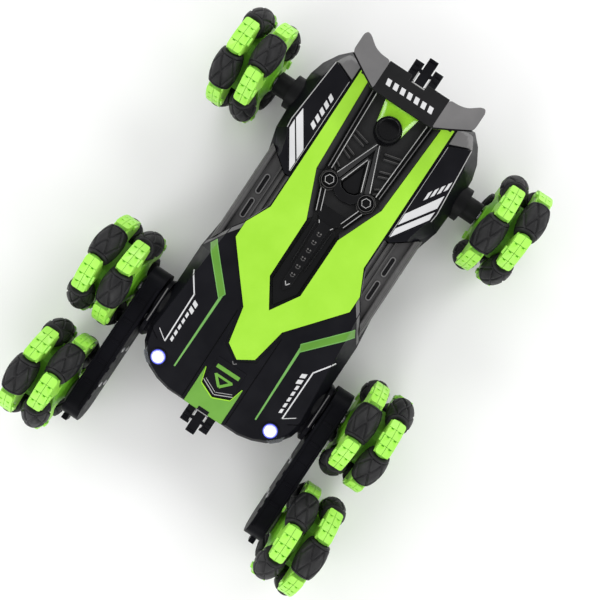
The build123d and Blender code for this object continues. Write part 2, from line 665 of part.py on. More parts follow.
# ---- chassis tub ----
with BuildPart() as chassis_tub:
    with BuildSketch(Plane.XY.offset(FLOOR_Z)):
        plan_sketch(TUB_INSET)
    extrude(amount=TUB_TOP_Z - FLOOR_Z)
    with BuildSketch(Plane.XY.offset(FLOOR_TOP_Z)):
        plan_sketch(TUB_INSET + WALL)
    extrude(amount=TUB_TOP_Z, mode=Mode.SUBTRACT)
    for _, side_sign in SIDES:
        rod(REAR_X, BOSS_START_Y, AXLE_BOSS_Y, AXLE_BOSS_R, side_sign)
        rod(REAR_X, AXLE_BOSS_Y, AXLE_SNOUT_Y, AXLE_SNOUT_R, side_sign)
        rod(REAR_X, BOSS_START_Y, AXLE_SNOUT_Y, SHAFT_R + RUNNING, side_sign, Mode.SUBTRACT)
        rod(PIVOT_X, BOSS_START_Y, PIVOT_BOSS_Y, AXLE_BOSS_R, side_sign)
        rod(PIVOT_X, BOSS_START_Y, PIVOT_BOSS_Y, ARM_TUBE_R + RUNNING, side_sign, Mode.SUBTRACT)
    # Battery hatch, switch slot and screw pilot holes through the floor.
    blocks([(HATCH_X, 0)], HATCH_LENGTH, HATCH_WIDTH, FLOOR_Z, FLOOR_TOP_Z, Mode.SUBTRACT)
    switch_slot_x = SWITCH_X - SWITCH_TRAVEL / 2
    switch_slot_length = SWITCH_LENGTH + SWITCH_TRAVEL + SWITCH_PLAY
    switch_slot_width = SWITCH_WIDTH + SWITCH_PLAY
    switch_slot = [(switch_slot_x, SWITCH_Y)]
    blocks(switch_slot, switch_slot_length, switch_slot_width, FLOOR_Z, FLOOR_TOP_Z, Mode.SUBTRACT)
    pegs(SCREW_PLACES, SCREW_POST_R, FLOOR_TOP_Z - 1, SCREW_TOP_Z + WALL)
    pegs(SCREW_PLACES, SCREW_HEAD_R, FLOOR_Z, FLOOR_Z + SCREW_HEAD_DEPTH, Mode.SUBTRACT)
    pegs(SCREW_PLACES, SCREW_R, FLOOR_Z, SCREW_TOP_Z, Mode.SUBTRACT)
write(chassis_tub, "chassis_tub")

with BuildPart() as body_screws:
    pegs(SCREW_PLACES, SCREW_HEAD_R, FLOOR_Z, FLOOR_Z + SCREW_HEAD_DEPTH)
    pegs(SCREW_PLACES, SCREW_R, FLOOR_Z, SCREW_TOP_Z)
write(body_screws, "body_screws")

with BuildPart() as battery_door:
    blocks([(HATCH_X, 0)], HATCH_LENGTH, HATCH_WIDTH, FLOOR_Z, FLOOR_Z + HATCH_THICK)
write(battery_door, "battery_door")

with BuildPart() as battery_pack:
    battery_length = HATCH_LENGTH - BATTERY_END_ROOM
    battery_width = HATCH_WIDTH - BATTERY_SIDE_ROOM
    blocks([(HATCH_X, 0)], battery_length, battery_width, FLOOR_Z + HATCH_THICK, BATTERY_TOP_Z)
    fillet(battery_pack.edges().filter_by(Axis.X), BATTERY_ROUND)
write(battery_pack, "battery_pack")

with BuildPart() as switch_slider:
    flange_z = FLOOR_TOP_Z + GAP
    flange_length = SWITCH_LENGTH + 2 * SWITCH_FLANGE
    flange_width = SWITCH_WIDTH + SWITCH_FLANGE
    blocks([(SWITCH_X, SWITCH_Y)], SWITCH_LENGTH, SWITCH_WIDTH, FLOOR_Z, flange_z)
    switch_place = [(SWITCH_X, SWITCH_Y)]
    blocks(switch_place, flange_length, flange_width, flange_z, flange_z + SWITCH_FLANGE_THICK)
write(switch_slider, "power_switch_slider")

# ---- drive motors, their gearbox plates and the circuit board ----
MOTOR_X = (REAR_X + PINION_REACH, PIVOT_X - PINION_REACH)
with BuildPart() as drive_motors:
    shaft_start_y = MOTOR_END_Y - MOTOR_SHAFT_DEPTH - 1
    shaft_hole_r = MOTOR_SHAFT_R + RUNNING
    for _, side_sign in SIDES:
        for motor_x in MOTOR_X:
            rod(motor_x, MOTOR_START_Y, MOTOR_END_Y, MOTOR_R, side_sign)
            rod(motor_x, shaft_start_y, MOTOR_END_Y, shaft_hole_r, side_sign, Mode.SUBTRACT)
write(drive_motors, "drive_motors")

with BuildPart() as gearbox_plates:
    plate_end_y = MOTOR_END_Y + PLATE_THICK
    plate_middle_z = (PLATE_TOP_Z + FLOOR_TOP_Z) / 2
    for _, side_sign in SIDES:
        for motor_x, axle_x in zip(MOTOR_X, (REAR_X, PIVOT_X)):
            with BuildSketch(facing_out((motor_x + axle_x) / 2, MOTOR_END_Y, plate_middle_z, side_sign)):
                Rectangle(PLATE_LENGTH, PLATE_TOP_Z - FLOOR_TOP_Z)
            extrude(amount=PLATE_THICK)
            rod(axle_x, MOTOR_END_Y, plate_end_y, SHAFT_R + RUNNING, side_sign, Mode.SUBTRACT)
            rod(motor_x, MOTOR_END_Y, plate_end_y, MOTOR_SHAFT_R + 1, side_sign, Mode.SUBTRACT)
write(gearbox_plates, "gearbox_plates")

with BuildPart() as circuit_board:
    blocks([(BOARD_X, 0)], BOARD_LENGTH, BOARD_WIDTH, BOARD_Z, BOARD_Z + BOARD_THICK)
    chip_z = BOARD_Z + BOARD_THICK
    blocks(CHIP_PLACES, CHIP_LENGTH, CHIP_WIDTH, chip_z, chip_z + CHIP_TALL)
write(circuit_board, "circuit_board")
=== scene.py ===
import json
from math import cos, pi, radians, sin, sqrt

import bmesh
import bpy
import numpy as np
from mathutils import Matrix, Vector


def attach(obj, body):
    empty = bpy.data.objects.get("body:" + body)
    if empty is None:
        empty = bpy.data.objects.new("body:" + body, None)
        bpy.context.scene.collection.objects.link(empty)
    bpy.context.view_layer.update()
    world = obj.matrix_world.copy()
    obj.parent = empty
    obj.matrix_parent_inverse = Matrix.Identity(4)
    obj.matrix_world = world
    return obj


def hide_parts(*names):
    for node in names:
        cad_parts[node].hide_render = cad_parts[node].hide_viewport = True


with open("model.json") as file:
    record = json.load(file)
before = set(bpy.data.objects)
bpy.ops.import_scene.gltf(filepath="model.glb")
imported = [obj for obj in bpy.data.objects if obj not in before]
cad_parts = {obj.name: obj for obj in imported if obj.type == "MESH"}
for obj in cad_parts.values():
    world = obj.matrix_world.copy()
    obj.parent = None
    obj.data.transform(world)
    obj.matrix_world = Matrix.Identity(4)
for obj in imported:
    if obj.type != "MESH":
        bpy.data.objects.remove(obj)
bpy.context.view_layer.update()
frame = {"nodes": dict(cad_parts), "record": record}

MM = 0.001
NODES = frame["nodes"]
SIDES = (("left", 1), ("right", -1))
NODE_EDGE_ANGLE = 28

# ---- where things are, in millimetres, as the CAD frame has them ----
AXLE_Z = 37
WHEEL_Y = 102
WHEEL_X = {"rear": -112, "mid": 56, "front": 140}
WHEEL_R = 37
ROW_OFFSET = 9.7
ROLLER_ORBIT = 27.5
ROLLER_HALF = 12.2
ROW_PHASE = {
    "rear_left": -24,
    "rear_right": 11,
    "mid_left": 17,
    "mid_right": -17,
    "front_left": 45,
    "front_right": 36,
}
LAMP_X, LAMP_Y, LAMP_GLOW_Z, LAMP_R = 88, 45, 50.6, 5.4
LAMP_GRAIN_MM = 1.2


# ================= materials =================
def new_material(name):
    """A node material, with its shader and its place in the object's own frame."""
    material = bpy.data.materials.new(name)
    material.use_nodes = True
    nodes = material.node_tree.nodes
    return material, nodes["Principled BSDF"], nodes.new("ShaderNodeTexCoord").outputs["Object"]


def add_node(source, kind, output, operation=None, **inputs):
    """Adds a node to the tree that a socket belongs to, and gives its output."""
    node = source.id_data.nodes.new(kind)
    if operation:
        node.operation = operation
    set_inputs(node, **inputs)
    return node.outputs[output]


def set_inputs(node, **inputs):
    """Sets inputs, by name with _ for a space or as _ and a number, to values or to other nodes' outputs."""
    for name, value in inputs.items():
        socket = node.inputs[int(name[1:]) if name[1:].isdigit() else name.replace("_", " ")]
        if isinstance(value, bpy.types.NodeSocket):
            node.id_data.links.new(value, socket)
        else:
            socket.default_value = value


def noise(place, size_mm, detail=4, stretch=None):
    """Noise whose blobs are about size_mm across; stretch squeezes it along the three axes."""
    if stretch:
        place = add_node(place, "ShaderNodeMapping", "Vector", Vector=place, Scale=stretch)
    return add_node(place, "ShaderNodeTexNoise", "Fac", Vector=place, Scale=1 / (size_mm * MM), Detail=detail)


def blend_colours(factor, low, high, from_min=0.35, from_max=0.65):
    ramp = factor.id_data.nodes.new("ShaderNodeValToRGB")
    for element, position, colour in zip(ramp.color_ramp.elements, (from_min, from_max), (low, high)):
        element.position = position
        element.color = (*colour, 1)
    set_inputs(ramp, Fac=factor)
    return ramp.outputs["Color"]


def map_range(value, from_min, from_max, low, high):
    limits = {"From_Min": from_min, "From_Max": from_max, "To_Min": low, "To_Max": high}
    return add_node(value, "ShaderNodeMapRange", "Result", Value=value, **limits)


def spread(factor, low, high):
    """Maps a noise of about 0.3 to 0.7 onto low to high."""
    return map_range(factor, 0.3, 0.7, low, high)


def bump(height, depth_mm, strength, **below):
    """A bumped normal; below may give the Normal that lies under it."""
    inputs = {"Height": height, "Distance": depth_mm * MM, "Strength": strength, **below}
    return add_node(height, "ShaderNodeBump", "Normal", **inputs)


def worn_edges(colour, worn):
    """Lightens the colour where the surface is sharply convex."""
    pointiness = add_node(colour, "ShaderNodeNewGeometry", "Pointiness")
    mask = map_range(pointiness, 0.53, 0.62, 0, 0.6)
    mix = colour.id_data.nodes.new("ShaderNodeMix")
    mix.data_type = "RGBA"
    set_inputs(mix, Factor=mask, A=colour, B=(*worn, 1))
    return mix.outputs["Result"]


def moulded(name, low, high, rough, grain_mm=0.35, grain=0.35, coat=0, worn=None, specular=0.5):
    """Injection-moulded plastic: slight colour flow, fine spark-eroded grain and uneven gloss."""
    material, shader, place = new_material(name)
    colour = blend_colours(noise(place, 22, 3), low, high)
    if worn:
        colour = worn_edges(colour, worn)
    gloss = spread(noise(place, 6, 5), rough * 0.82, rough * 1.2)
    waviness = bump(noise(place, 14, 2), 0.06, 0.35)
    skin = bump(noise(place, grain_mm, 2), 0.02, grain, Normal=waviness)
    set_inputs(shader, Base_Color=colour, Roughness=gloss, Normal=skin)
    set_inputs(shader, Coat_Weight=coat, Coat_Roughness=0.12, Specular_IOR_Level=specular)
    return material


def rubber(name):
    """Soft black rubber: matt, of uneven tone and lighter on its sharp edges, with a fine pebbled skin."""
    material, shader, place = new_material(name)
    colour = blend_colours(noise(place, 9, 6), (0.0065, 0.0065, 0.0075), (0.016, 0.016, 0.017))
    colour = worn_edges(colour, (0.05, 0.05, 0.053))
    gloss = spread(noise(place, 3, 5), 0.42, 0.62)
    pebbles = bump(noise(place, 0.5, 3), 0.05, 0.5)
    skin = bump(noise(place, 5, 2), 0.1, 0.3, Normal=pebbles)
    set_inputs(shader, Base_Color=colour, Roughness=gloss, Normal=skin, Specular_IOR_Level=0.3)
    return material


def metal(name, low, high, rough, stretch=(1, 1, 1)):
    material, shader, place = new_material(name)
    colour = blend_colours(noise(place, 8, 4), low, high)
    scratches = noise(place, 0.6, 4, stretch)
    gloss = spread(scratches, rough * 0.7, rough * 1.4)
    set_inputs(shader, Base_Color=colour, Roughness=gloss, Normal=bump(scratches, 0.01, 0.4), Metallic=1)
    return material


def clear_lens(name):
    material, shader, place = new_material(name)
    colour = blend_colours(noise(place, 6, 2), (0.86, 0.92, 1), (0.94, 0.97, 1))
    gloss = spread(noise(place, 2, 2), 0.02, 0.07)
    ripple = bump(noise(place, 1.4, 1), 0.05, 0.25)
    set_inputs(shader, Base_Color=colour, Roughness=gloss, Normal=ripple, Transmission_Weight=0.9, IOR=1.46)
    return material


def glowing(name, strength, rim):
    """A lit lamp, white in its middle and of another colour at its rim and beyond."""
    material, shader, place = new_material(name)
    lamp = (LAMP_X * MM, LAMP_Y * MM, LAMP_GLOW_Z * MM)
    folded = add_node(place, "ShaderNodeVectorMath", "Vector", "ABSOLUTE", _0=place)
    reach = add_node(place, "ShaderNodeVectorMath", "Value", "DISTANCE", _0=folded, _1=lamp)
    grain = {"_0": noise(place, 1.2, 2), "_1": LAMP_GRAIN_MM * MM}
    uneven = add_node(place, "ShaderNodeMath", "Value", "MULTIPLY_ADD", _2=reach, **grain)
    share = add_node(place, "ShaderNodeMath", "Value", "MULTIPLY", _0=uneven, _1=1 / (LAMP_R * MM))
    colour = blend_colours(share, (1, 1, 1), rim, 0.3, 1.02)
    set_inputs(shader, Base_Color=colour, Emission_Color=colour, Emission_Strength=strength, Roughness=0.3)
    return material


# Darker and lighter colour and roughness, then grain size, grain, coat, worn edges and specular level.
MOULDED = {
    "shell_black": ((0.0045, 0.0045, 0.0065), (0.0075, 0.0075, 0.01), 0.34, 0.45, 0.25, 0, None, 0.11),
    "shell_lime": ((0.325, 0.68, 0.032), (0.36, 0.725, 0.043), 0.34, 0.45, 0.2, 0.15, None, 0.3),
    "lime_gloss": ((0.3, 0.68, 0.03), (0.34, 0.74, 0.04), 0.16, 0.4, 0.1, 0.6),
    "wheel_lime": ((0.3, 0.76, 0.045), (0.37, 0.86, 0.07), 0.4, 0.5, 0.5, 0.05, (0.58, 0.97, 0.24), 0.4),
    # hub_lime_painted_shade: the wheel's lime plastic made darker, as painted shade for the hub core that
    # lies in shadow between the rows.
    "hub_lime_painted_shade": ((0.115, 0.36, 0.018), (0.15, 0.43, 0.026), 0.42, 0.5, 0.5, 0, (0.42, 0.85, 0.16), 0.25),
    "deck_black": ((0.0055, 0.0055, 0.0065), (0.01, 0.01, 0.011), 0.45, 0.5, 0.5, 0, (0.09,) * 3, 0.16),
    "fitting_black": ((0.003, 0.003, 0.0036), (0.005, 0.005, 0.006), 0.26, 0.4, 0.2, 0.03, None, 0.16),
    "arm_black": ((0.0022, 0.0022, 0.0036), (0.0042, 0.0042, 0.0064), 0.42, 0.5, 0.5, 0, None, 0.07),
    "spoiler_black": ((0.0055, 0.0055, 0.006), (0.009, 0.009, 0.01), 0.45, 0.5, 0.45, 0, None, 0.2),
    "chassis_charcoal": ((0.005, 0.005, 0.006), (0.009, 0.009, 0.01), 0.5, 0.5, 0.7, 0, None, 0.14),
    "pod_charcoal": ((0.045, 0.044, 0.045), (0.065, 0.063, 0.064), 0.5, 0.5, 0.7, 0,
                     (0.15, 0.145, 0.14), 0.3),
    "tip_grey": ((0.13, 0.128, 0.13), (0.165, 0.161, 0.162), 0.48, 0.5, 0.5, 0, None, 0.3),
    "nose_green": ((0.122, 0.325, 0.036), (0.15, 0.37, 0.048), 0.34, 0.35, 0.2, 0.15, None, 0.35),
    "print_green": ((0.095, 0.265, 0.026), (0.115, 0.305, 0.034), 0.34, 0.3, 0.15, 0.1, None, 0.3),
    "print_pale_green": ((0.14, 0.36, 0.08), (0.18, 0.42, 0.105), 0.34, 0.3, 0.15, 0.1, None, 0.3),
    "print_white": ((0.6, 0.6, 0.61), (0.67, 0.67, 0.68), 0.38, 0.3, 0.15, 0.1, None, 0.3),
    # silver_print_and_painted_highlight: real silver print on some marks, and painted highlights on the bay's
    # bars and the bolt rims.
    "silver_print_and_painted_highlight": ((0.36, 0.36, 0.36), (0.5, 0.5, 0.49), 0.3, 0.3, 0.15, 0.1, None, 0.4),
    "gear_nylon": ((0.74, 0.72, 0.64), (0.82, 0.8, 0.72), 0.45),
    "plate_white": ((0.68, 0.68, 0.65), (0.76, 0.76, 0.73), 0.45),
    "battery_wrap": ((0.03, 0.16, 0.5), (0.05, 0.22, 0.62), 0.2, 0.3, 0.2, 0.4),
    "board_green": ((0.02, 0.16, 0.06), (0.04, 0.24, 0.09), 0.3, 0.3, 0.3, 0.3),
}
LOOK = {name: moulded(name, *recipe) for name, recipe in MOULDED.items()}
LOOK |= {
    "tread_rubber": rubber("tread_rubber"),
    "shaft_steel": metal("shaft_steel", (0.50, 0.50, 0.52), (0.62, 0.62, 0.64), 0.28, (1, 0.1, 1)),
    "screw_steel": metal("screw_steel", (0.42, 0.42, 0.43), (0.55, 0.55, 0.56), 0.32),
    "motor_can": metal("motor_can", (0.52, 0.52, 0.53), (0.64, 0.64, 0.65), 0.3, (1, 0.1, 1)),
    "pinion_brass": metal("pinion_brass", (0.68, 0.50, 0.22), (0.80, 0.60, 0.30), 0.3),
    "lens_clear": clear_lens("lens_clear"),
    "led_white": glowing("led_white", 0.9, (0.66, 0.78, 1)),
    "lamp_glow": glowing("lamp_glow", 2.2, (0.04, 0.05, 0.34)),
}

for part in frame["record"]["subparts"]:
    cad_mesh = NODES[part["node"]].data
    cad_mesh.materials.clear()
    cad_mesh.materials.append(LOOK[part["material_slot"]])


# ================= mesh tools =================
def to_mesh(name, bm):
    """Turns a bmesh in millimetres into a mesh in metres with its faces outwards."""
    bmesh.ops.scale(bm, vec=(MM, MM, MM), verts=bm.verts)
    bmesh.ops.recalc_face_normals(bm, faces=bm.faces)
    mesh = bpy.data.meshes.new(name)
    bm.to_mesh(mesh)
    bm.free()
    return mesh


def soften(thing, width, angle, segments=2):
    """Rounds the edges that are sharper than an angle, as a mould would."""
    rounding = thing.modifiers.new("edges", "BEVEL")
    rounding.width = width * MM
    rounding.segments = segments
    rounding.limit_method = "ANGLE"
    rounding.angle_limit = radians(angle)
    rounding.harden_normals = True


def place_mesh(name, mesh, look, slot=None, bevel=0, body="chassis", segments=2, angle=30, replaces=()):
    """Makes a mesh a piece that rides on a body."""
    piece = bpy.data.objects.new(name, mesh)
    bpy.context.scene.collection.objects.link(piece)
    mesh.materials.append(LOOK[look])
    mesh.polygons.foreach_set("use_smooth", [True] * len(mesh.polygons))
    mesh.set_sharp_from_angle(angle=radians(angle))
    if bevel:
        soften(piece, bevel, angle, segments)
    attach(piece, body)
    if replaces:
        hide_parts(*replaces)


def finish_piece(name, bm, look, slot=None, bevel=0, **settings):
    """Makes a bmesh in millimetres a piece; the settings are those of place_mesh."""
    place_mesh(name, to_mesh(name, bm), look, slot, bevel, **settings)


def add_loft(bm, foot, top):
    """Adds a closed solid between two outlines in space with equal numbers of points."""
    foot = [bm.verts.new(point) for point in foot]
    top = [bm.verts.new(point) for point in top]
    bm.faces.new(foot[::-1])
    bm.faces.new(top)
    for corners in zip(foot, foot[1:] + foot[:1], top[1:] + top[:1], top):
        bm.faces.new(corners)


def add_prism(bm, outline, low, high, to_world=None):
    """Adds a closed prism between two heights, or functions of (x, y); to_world maps (x, y, z) to a point."""
    to_world = to_world or (lambda x, y, z: (x, y, z))
    rings = [[to_world(x, y, z(x, y) if callable(z) else z) for x, y in outline] for z in (low, high)]
    add_loft(bm, *rings)


def add_box(bm, xs, ys, zs, side=1, to_world=None):
    """Adds a box between three pairs of limits; side -1 mirrors it across the centre line."""
    (x0, x1), (y0, y1), (z0, z1) = sorted(xs), sorted(side * y for y in ys), sorted(zs)
    add_prism(bm, [(x0, y0), (x1, y0), (x1, y1), (x0, y1)], z0, z1, to_world)


def add_turned(bm, profile, sides, to_world):
    """Adds a closed solid of revolution; profile is a list of (along, radius) with ends on the axis."""
    rings = []
    for along, radius in profile:
        ring = circle(radius, sides if radius else 1)
        rings.append([bm.verts.new(to_world(x, y, along)) for x, y in ring])
    for a, b in zip(rings, rings[1:]):
        for i in range(sides):
            j = (i + 1) % sides
            if len(a) == 1:
                bm.faces.new((a[0], b[j], b[i]))
            elif len(b) == 1:
                bm.faces.new((a[i], a[j], b[0]))
            else:
                bm.faces.new((a[i], a[j], b[j], b[i]))


def circle(radius, sides, centre=(0, 0), start=0):
    angles = [start + 2 * pi * i / sides for i in range(sides)]
    return [(centre[0] + radius * cos(angle), centre[1] + radius * sin(angle)) for angle in angles]


def mirrored(half, *centre_points):
    """Closed plan outline from its left half, with any points on the centre line last."""
    return [*half, *centre_points, *[(x, -y) for x, y in reversed(half)]]


# ================= omni wheels =================
BARREL_SIDES = 96
BARREL_STEPS = 44
GROOVE_AT = 10.4
TREAD_STARTS = 6
TREAD_DEPTH = 0.95
TREAD_HALF_WIDTH = 0.55


def barrel_radius(x):
    return sqrt(WHEEL_R**2 - x * x) - ROLLER_ORBIT


def roller_arrays():
    """Vertices and faces of one roller at the origin, its pins along X, with its cut tread."""
    stations = list(np.linspace(-GROOVE_AT, GROOVE_AT, BARREL_STEPS))
    radii = [barrel_radius(x) for x in stations]
    end_r = barrel_radius(ROLLER_HALF)
    ends = [
        (10.55, barrel_radius(10.5) - 0.85),
        (10.85, barrel_radius(10.8) - 0.8),
        (11, barrel_radius(11) - 0.12),
        (11.9, end_r - 0.05),
        (12.15, end_r - 0.45),
        (12.2, end_r - 1),
        (12.2, 3.6),
        (11.6, 3.2),
        (11.6, 1.5),
        (14.1, 1.5),
        (14.1, 0),
    ]
    profile = [(-x, r) for x, r in reversed(ends)] + list(zip(stations, radii)) + ends
    turns = 2 * np.pi * np.arange(BARREL_SIDES) / BARREL_SIDES
    points, starts = [], []
    for x, r in profile:
        starts.append(len(points))
        if r == 0:
            points.append((x, 0, 0))
            continue
        cut = np.zeros(BARREL_SIDES)
        if abs(x) <= GROOVE_AT:
            for lean in (-1, 1):
                phase = TREAD_STARTS * (turns + lean * (x / GROOVE_AT) * np.pi / TREAD_STARTS) / (2 * np.pi)
                off = np.abs(phase - np.round(phase)) * 2 * np.pi / TREAD_STARTS * barrel_radius(0)
                cut = np.maximum(cut, np.clip(1.35 - off / TREAD_HALF_WIDTH * 0.75, 0, 1))
        local = r - TREAD_DEPTH * cut
        points.extend(zip([x] * BARREL_SIDES, local * np.cos(turns), local * np.sin(turns)))
    faces = []
    for k in range(len(profile) - 1):
        a, b = starts[k], starts[k + 1]
        for i in range(BARREL_SIDES):
            j = (i + 1) % BARREL_SIDES
            if profile[k][1] == 0:
                faces.append((a, b + i, b + j))
            elif profile[k + 1][1] == 0:
                faces.append((a + i, b, a + j))
            else:
                faces.append((a + i, b + i, b + j, a + j))
    return np.array(points) * MM, faces


ROLLER_POINTS, ROLLER_FACES = roller_arrays()


def row_angle(wheel, row, index):
    return radians(ROW_PHASE[wheel] + 45 * row + 90 * index)


def lowest_index(wheel, row):
    return max(range(4), key=lambda index: -cos(row_angle(wheel, row, index)))


def row_place(wheel, side, row):
    """The axle's x and the y of a row's middle plane."""
    return WHEEL_X[wheel.split("_")[0]], side * (WHEEL_Y + ROW_OFFSET * (2 * row - 1))


def roller_matrix(wheel, side, row, index):
    """Placement of a roller: its x along its pins, its y away from the axle."""
    turn = row_angle(wheel, row, index)
    axle_x, row_y = row_place(wheel, side, row)
    along = Vector((cos(turn), 0, sin(turn)))
    away = Vector((-sin(turn), 0, cos(turn)))
    matrix = Matrix((along, away, along.cross(away))).transposed().to_4x4()
    matrix.translation = (Vector((axle_x, row_y, AXLE_Z)) + away * ROLLER_ORBIT) * MM
    return matrix


def roller_piece(name, matrices, body, node):
    """One piece made of a roller at each placement."""
    points, faces = [], []
    for matrix in matrices:
        shift = len(points) * len(ROLLER_POINTS)
        points.append(ROLLER_POINTS @ np.array(matrix.to_3x3()).T + np.array(matrix.translation))
        faces.extend(tuple(v + shift for v in face) for face in ROLLER_FACES)
    mesh = bpy.data.meshes.new(name)
    mesh.from_pydata(np.concatenate(points).tolist(), [], faces)
    place_mesh(name, mesh, "tread_rubber", body=body, angle=42, replaces=(node,))


PAD_BASE = 34.4
PAD_TOP = 36
PAD_HALF_ARC = radians(20.8)
PAD_HALF_WIDTH = 5.4
PAD_PLANE = 12.75
PAD_ARC_STEPS = 12
STEM_HALF = 3.4
STEM_FOOT = 12
BRICK_ROWS = 4
BRICK_GAP = 0.1
SLIT = 1.7
SLIT_DEPTH = 0.8
END_ROUND = 1.8
PIN_SOCKET = 12.6
CORE_CORNER_R = 20.5
CORE_SIDE_R = 16.6


def pad_frames(wheel, side, row, turn):
    """Two maps to the row at an angle, from (sideways, across, out) and from (arc length, across, radius)."""
    axle_x, row_y = row_place(wheel, side, row)

    def flat(sideways, across, out):
        x = axle_x - out * sin(turn) - sideways * cos(turn)
        return (x, row_y + across, AXLE_Z + out * cos(turn) - sideways * sin(turn))

    def bent(arc, across, radius):
        return flat(radius * sin(arc / PAD_BASE), across, radius * cos(arc / PAD_BASE))

    return flat, bent


def add_pad(bm, flat):
    """A tread pad between two rollers: a block with an arched top, on a stem down to the hub."""
    arc = [PAD_HALF_ARC * (2 * i / PAD_ARC_STEPS - 1) for i in range(PAD_ARC_STEPS + 1)]
    top = [(PAD_BASE * sin(a), PAD_BASE * cos(a)) for a in arc]
    # The flanks follow the rollers' ends, at 45 degrees to the pad's own middle.
    corner = PAD_PLANE * sqrt(2)
    flank_x = top[-1][0]
    flank_z = corner + flank_x
    profile = [(-flank_x, flank_z), *top[1:-1], (flank_x, flank_z), (STEM_HALF, corner + STEM_HALF)]
    profile += [(STEM_HALF, STEM_FOOT), (-STEM_HALF, STEM_FOOT), (-STEM_HALF, corner + STEM_HALF)]
    add_prism(bm, profile, -PAD_HALF_WIDTH, PAD_HALF_WIDTH, lambda x, z, across: flat(x, across, z))


def add_bricks(bm, bent):
    """The pad's raised bricks: two columns, with small slits between neighbours and round end corners."""
    reach = PAD_BASE * PAD_HALF_ARC
    pitch = 2 * reach / BRICK_ROWS
    for brick in range(BRICK_ROWS):
        tail = -reach + pitch * brick + BRICK_GAP
        lead = -reach + pitch * (brick + 1) - BRICK_GAP
        for column in (-1, 1):
            inner, outer = BRICK_GAP * column, (PAD_HALF_WIDTH - 0.2) * column
            soft, tip = outer - END_ROUND * column, outer - END_ROUND * 0.3 * column
            outline = [(tail, inner), (lead, inner)]
            if brick < BRICK_ROWS - 1:
                # A notch in the middle of the brick's leading edge makes the slit.
                near, far = (inner + outer - SLIT * column) / 2, (inner + outer + SLIT * column) / 2
                notch = lead - SLIT_DEPTH
                outline += [(lead, near), (notch, near), (notch, far), (lead, far), (lead, outer)]
            else:
                outline += [(lead, soft), (lead - END_ROUND * 0.3, tip), (lead - END_ROUND, outer)]
            if brick:
                outline.append((tail, outer))
            else:
                outline += [(tail + END_ROUND, outer), (tail + END_ROUND * 0.3, tip), (tail, soft)]
            add_prism(bm, outline, PAD_BASE - 0.5, PAD_TOP, bent)


def add_hub_core(bm, wheel, side, row):
    """The row's square core with rounded corners, its cone and a round cheek at every pin socket."""
    axle_x, _ = row_place(wheel, side, row)
    out = side * (2 * row - 1)
    turn = row_angle(wheel, row, 0)

    def to_world(x, z, along):
        x, z = x * cos(turn) - z * sin(turn), x * sin(turn) + z * cos(turn)
        return (axle_x + x, side * WHEEL_Y + out * along, AXLE_Z + z)

    core = []
    for quarter in range(4):
        for step in range(7):
            angle = pi / 2 * quarter + pi / 4 + radians(10) * (step - 3) / 3
            core.append((CORE_CORNER_R * cos(angle), CORE_CORNER_R * sin(angle)))
        angle = pi / 2 * (quarter + 1)
        core.append((CORE_SIDE_R * cos(angle), CORE_SIDE_R * sin(angle)))
    add_prism(bm, core, 0.15, 14.9, to_world)
    cone = [(14.4, 0), (14.4, 16), (15.4, 15.4), (16.6, 11.6), (17.4, 9.2)]
    cone += [(18.4, 8.4), (18.6, 7.6), (18.6, 4.6), (17.2, 4.2), (17.2, 0)]
    add_turned(bm, cone, 48, to_world)
    for index in range(4):
        matrix = roller_matrix(wheel, side, row, index)
        for end in (-1, 1):
            def around(x, y, along, matrix=matrix, end=end):
                return matrix @ (Vector((end * (PIN_SOCKET + along), x, end * y)) * MM) / MM
            add_turned(bm, [(0, 0), (0, 4.6), (0.9, 4.9), (2.6, 4.9), (2.6, 0)], 28, around)


def build_wheel(axle, name, side):
    wheel = f"{axle}_{name}"
    body = f"{wheel}_wheel"
    core, pads, bricks = bmesh.new(), bmesh.new(), bmesh.new()
    for row in (0, 1):
        add_hub_core(core, wheel, side, row)
        for index in range(4):
            flat, bent = pad_frames(wheel, side, row, row_angle(wheel, row, index) + pi / 4)
            add_pad(pads, flat)
            add_bricks(bricks, bent)
            # A clip tab on the pad's edge that faces the car's middle.
            across = (PAD_HALF_WIDTH, PAD_HALF_WIDTH + 1.5)
            add_box(bricks, (-4.6, 1.2), across, (PAD_BASE - 2.2, PAD_BASE + 0.4), -side, bent)
    replaced = (f"{wheel}_hub",)
    # The hub core gets a darker copy of the wheel's lime: painted shade for the shadow between the rows.
    finish_piece(f"{wheel}_hub_moulding", core, "hub_lime_painted_shade", "wheel_lime", 0.35, body=body, replaces=replaced)
    finish_piece(f"{wheel}_pads", pads, "wheel_lime", bevel=0.35, body=body)
    finish_piece(f"{wheel}_pad_bricks", bricks, "wheel_lime", bevel=0.22, body=body)
    fixed = []
    for row, row_name in enumerate(("inner", "outer")):
        placements = [roller_matrix(wheel, side, row, index) for index in range(4)]
        lowest = placements.pop(lowest_index(wheel, row))
        node = f"{wheel}_{row_name}_floor_roller"
        roller_piece(f"{wheel}_{row_name}_floor_tread", [lowest], node, node)
        fixed += placements
    roller_piece(f"{wheel}_other_treads", fixed, body, f"{wheel}_other_rollers")


for side_name, side_sign in SIDES:
    for axle_name in WHEEL_X:
        build_wheel(axle_name, side_name, side_sign)


# ================= the body's outer form =================
TAIL_X = -156
NOSE_X = 103.5
ROOF_Z = 62
NOSE_Z = 47
BELT_Z = 44
HOOD_BREAK_X = 12.5
ROOF_INSET = 10
BODY_HALF = [
    (TAIL_X, 49.5), (-148.8, 56.5), (-138.5, 62.5), (-128, 65.5), (-112, 66.3), (-85, 65),
    (-69, 60.5), (-12.5, 60.5), (9.5, 63), (72.5, 63), (84.5, 59.3), (91.5, 54.2), (97.2, 47.7),
    (101.3, 38.3), (NOSE_X, 28),
]
BAY_HALF = [(-139.5, 28.7), (-74, 25.5), (-42.2, 12.3), (1.5, 12)]
BAY_TIP_X = 20.8
DECK_Z = 57


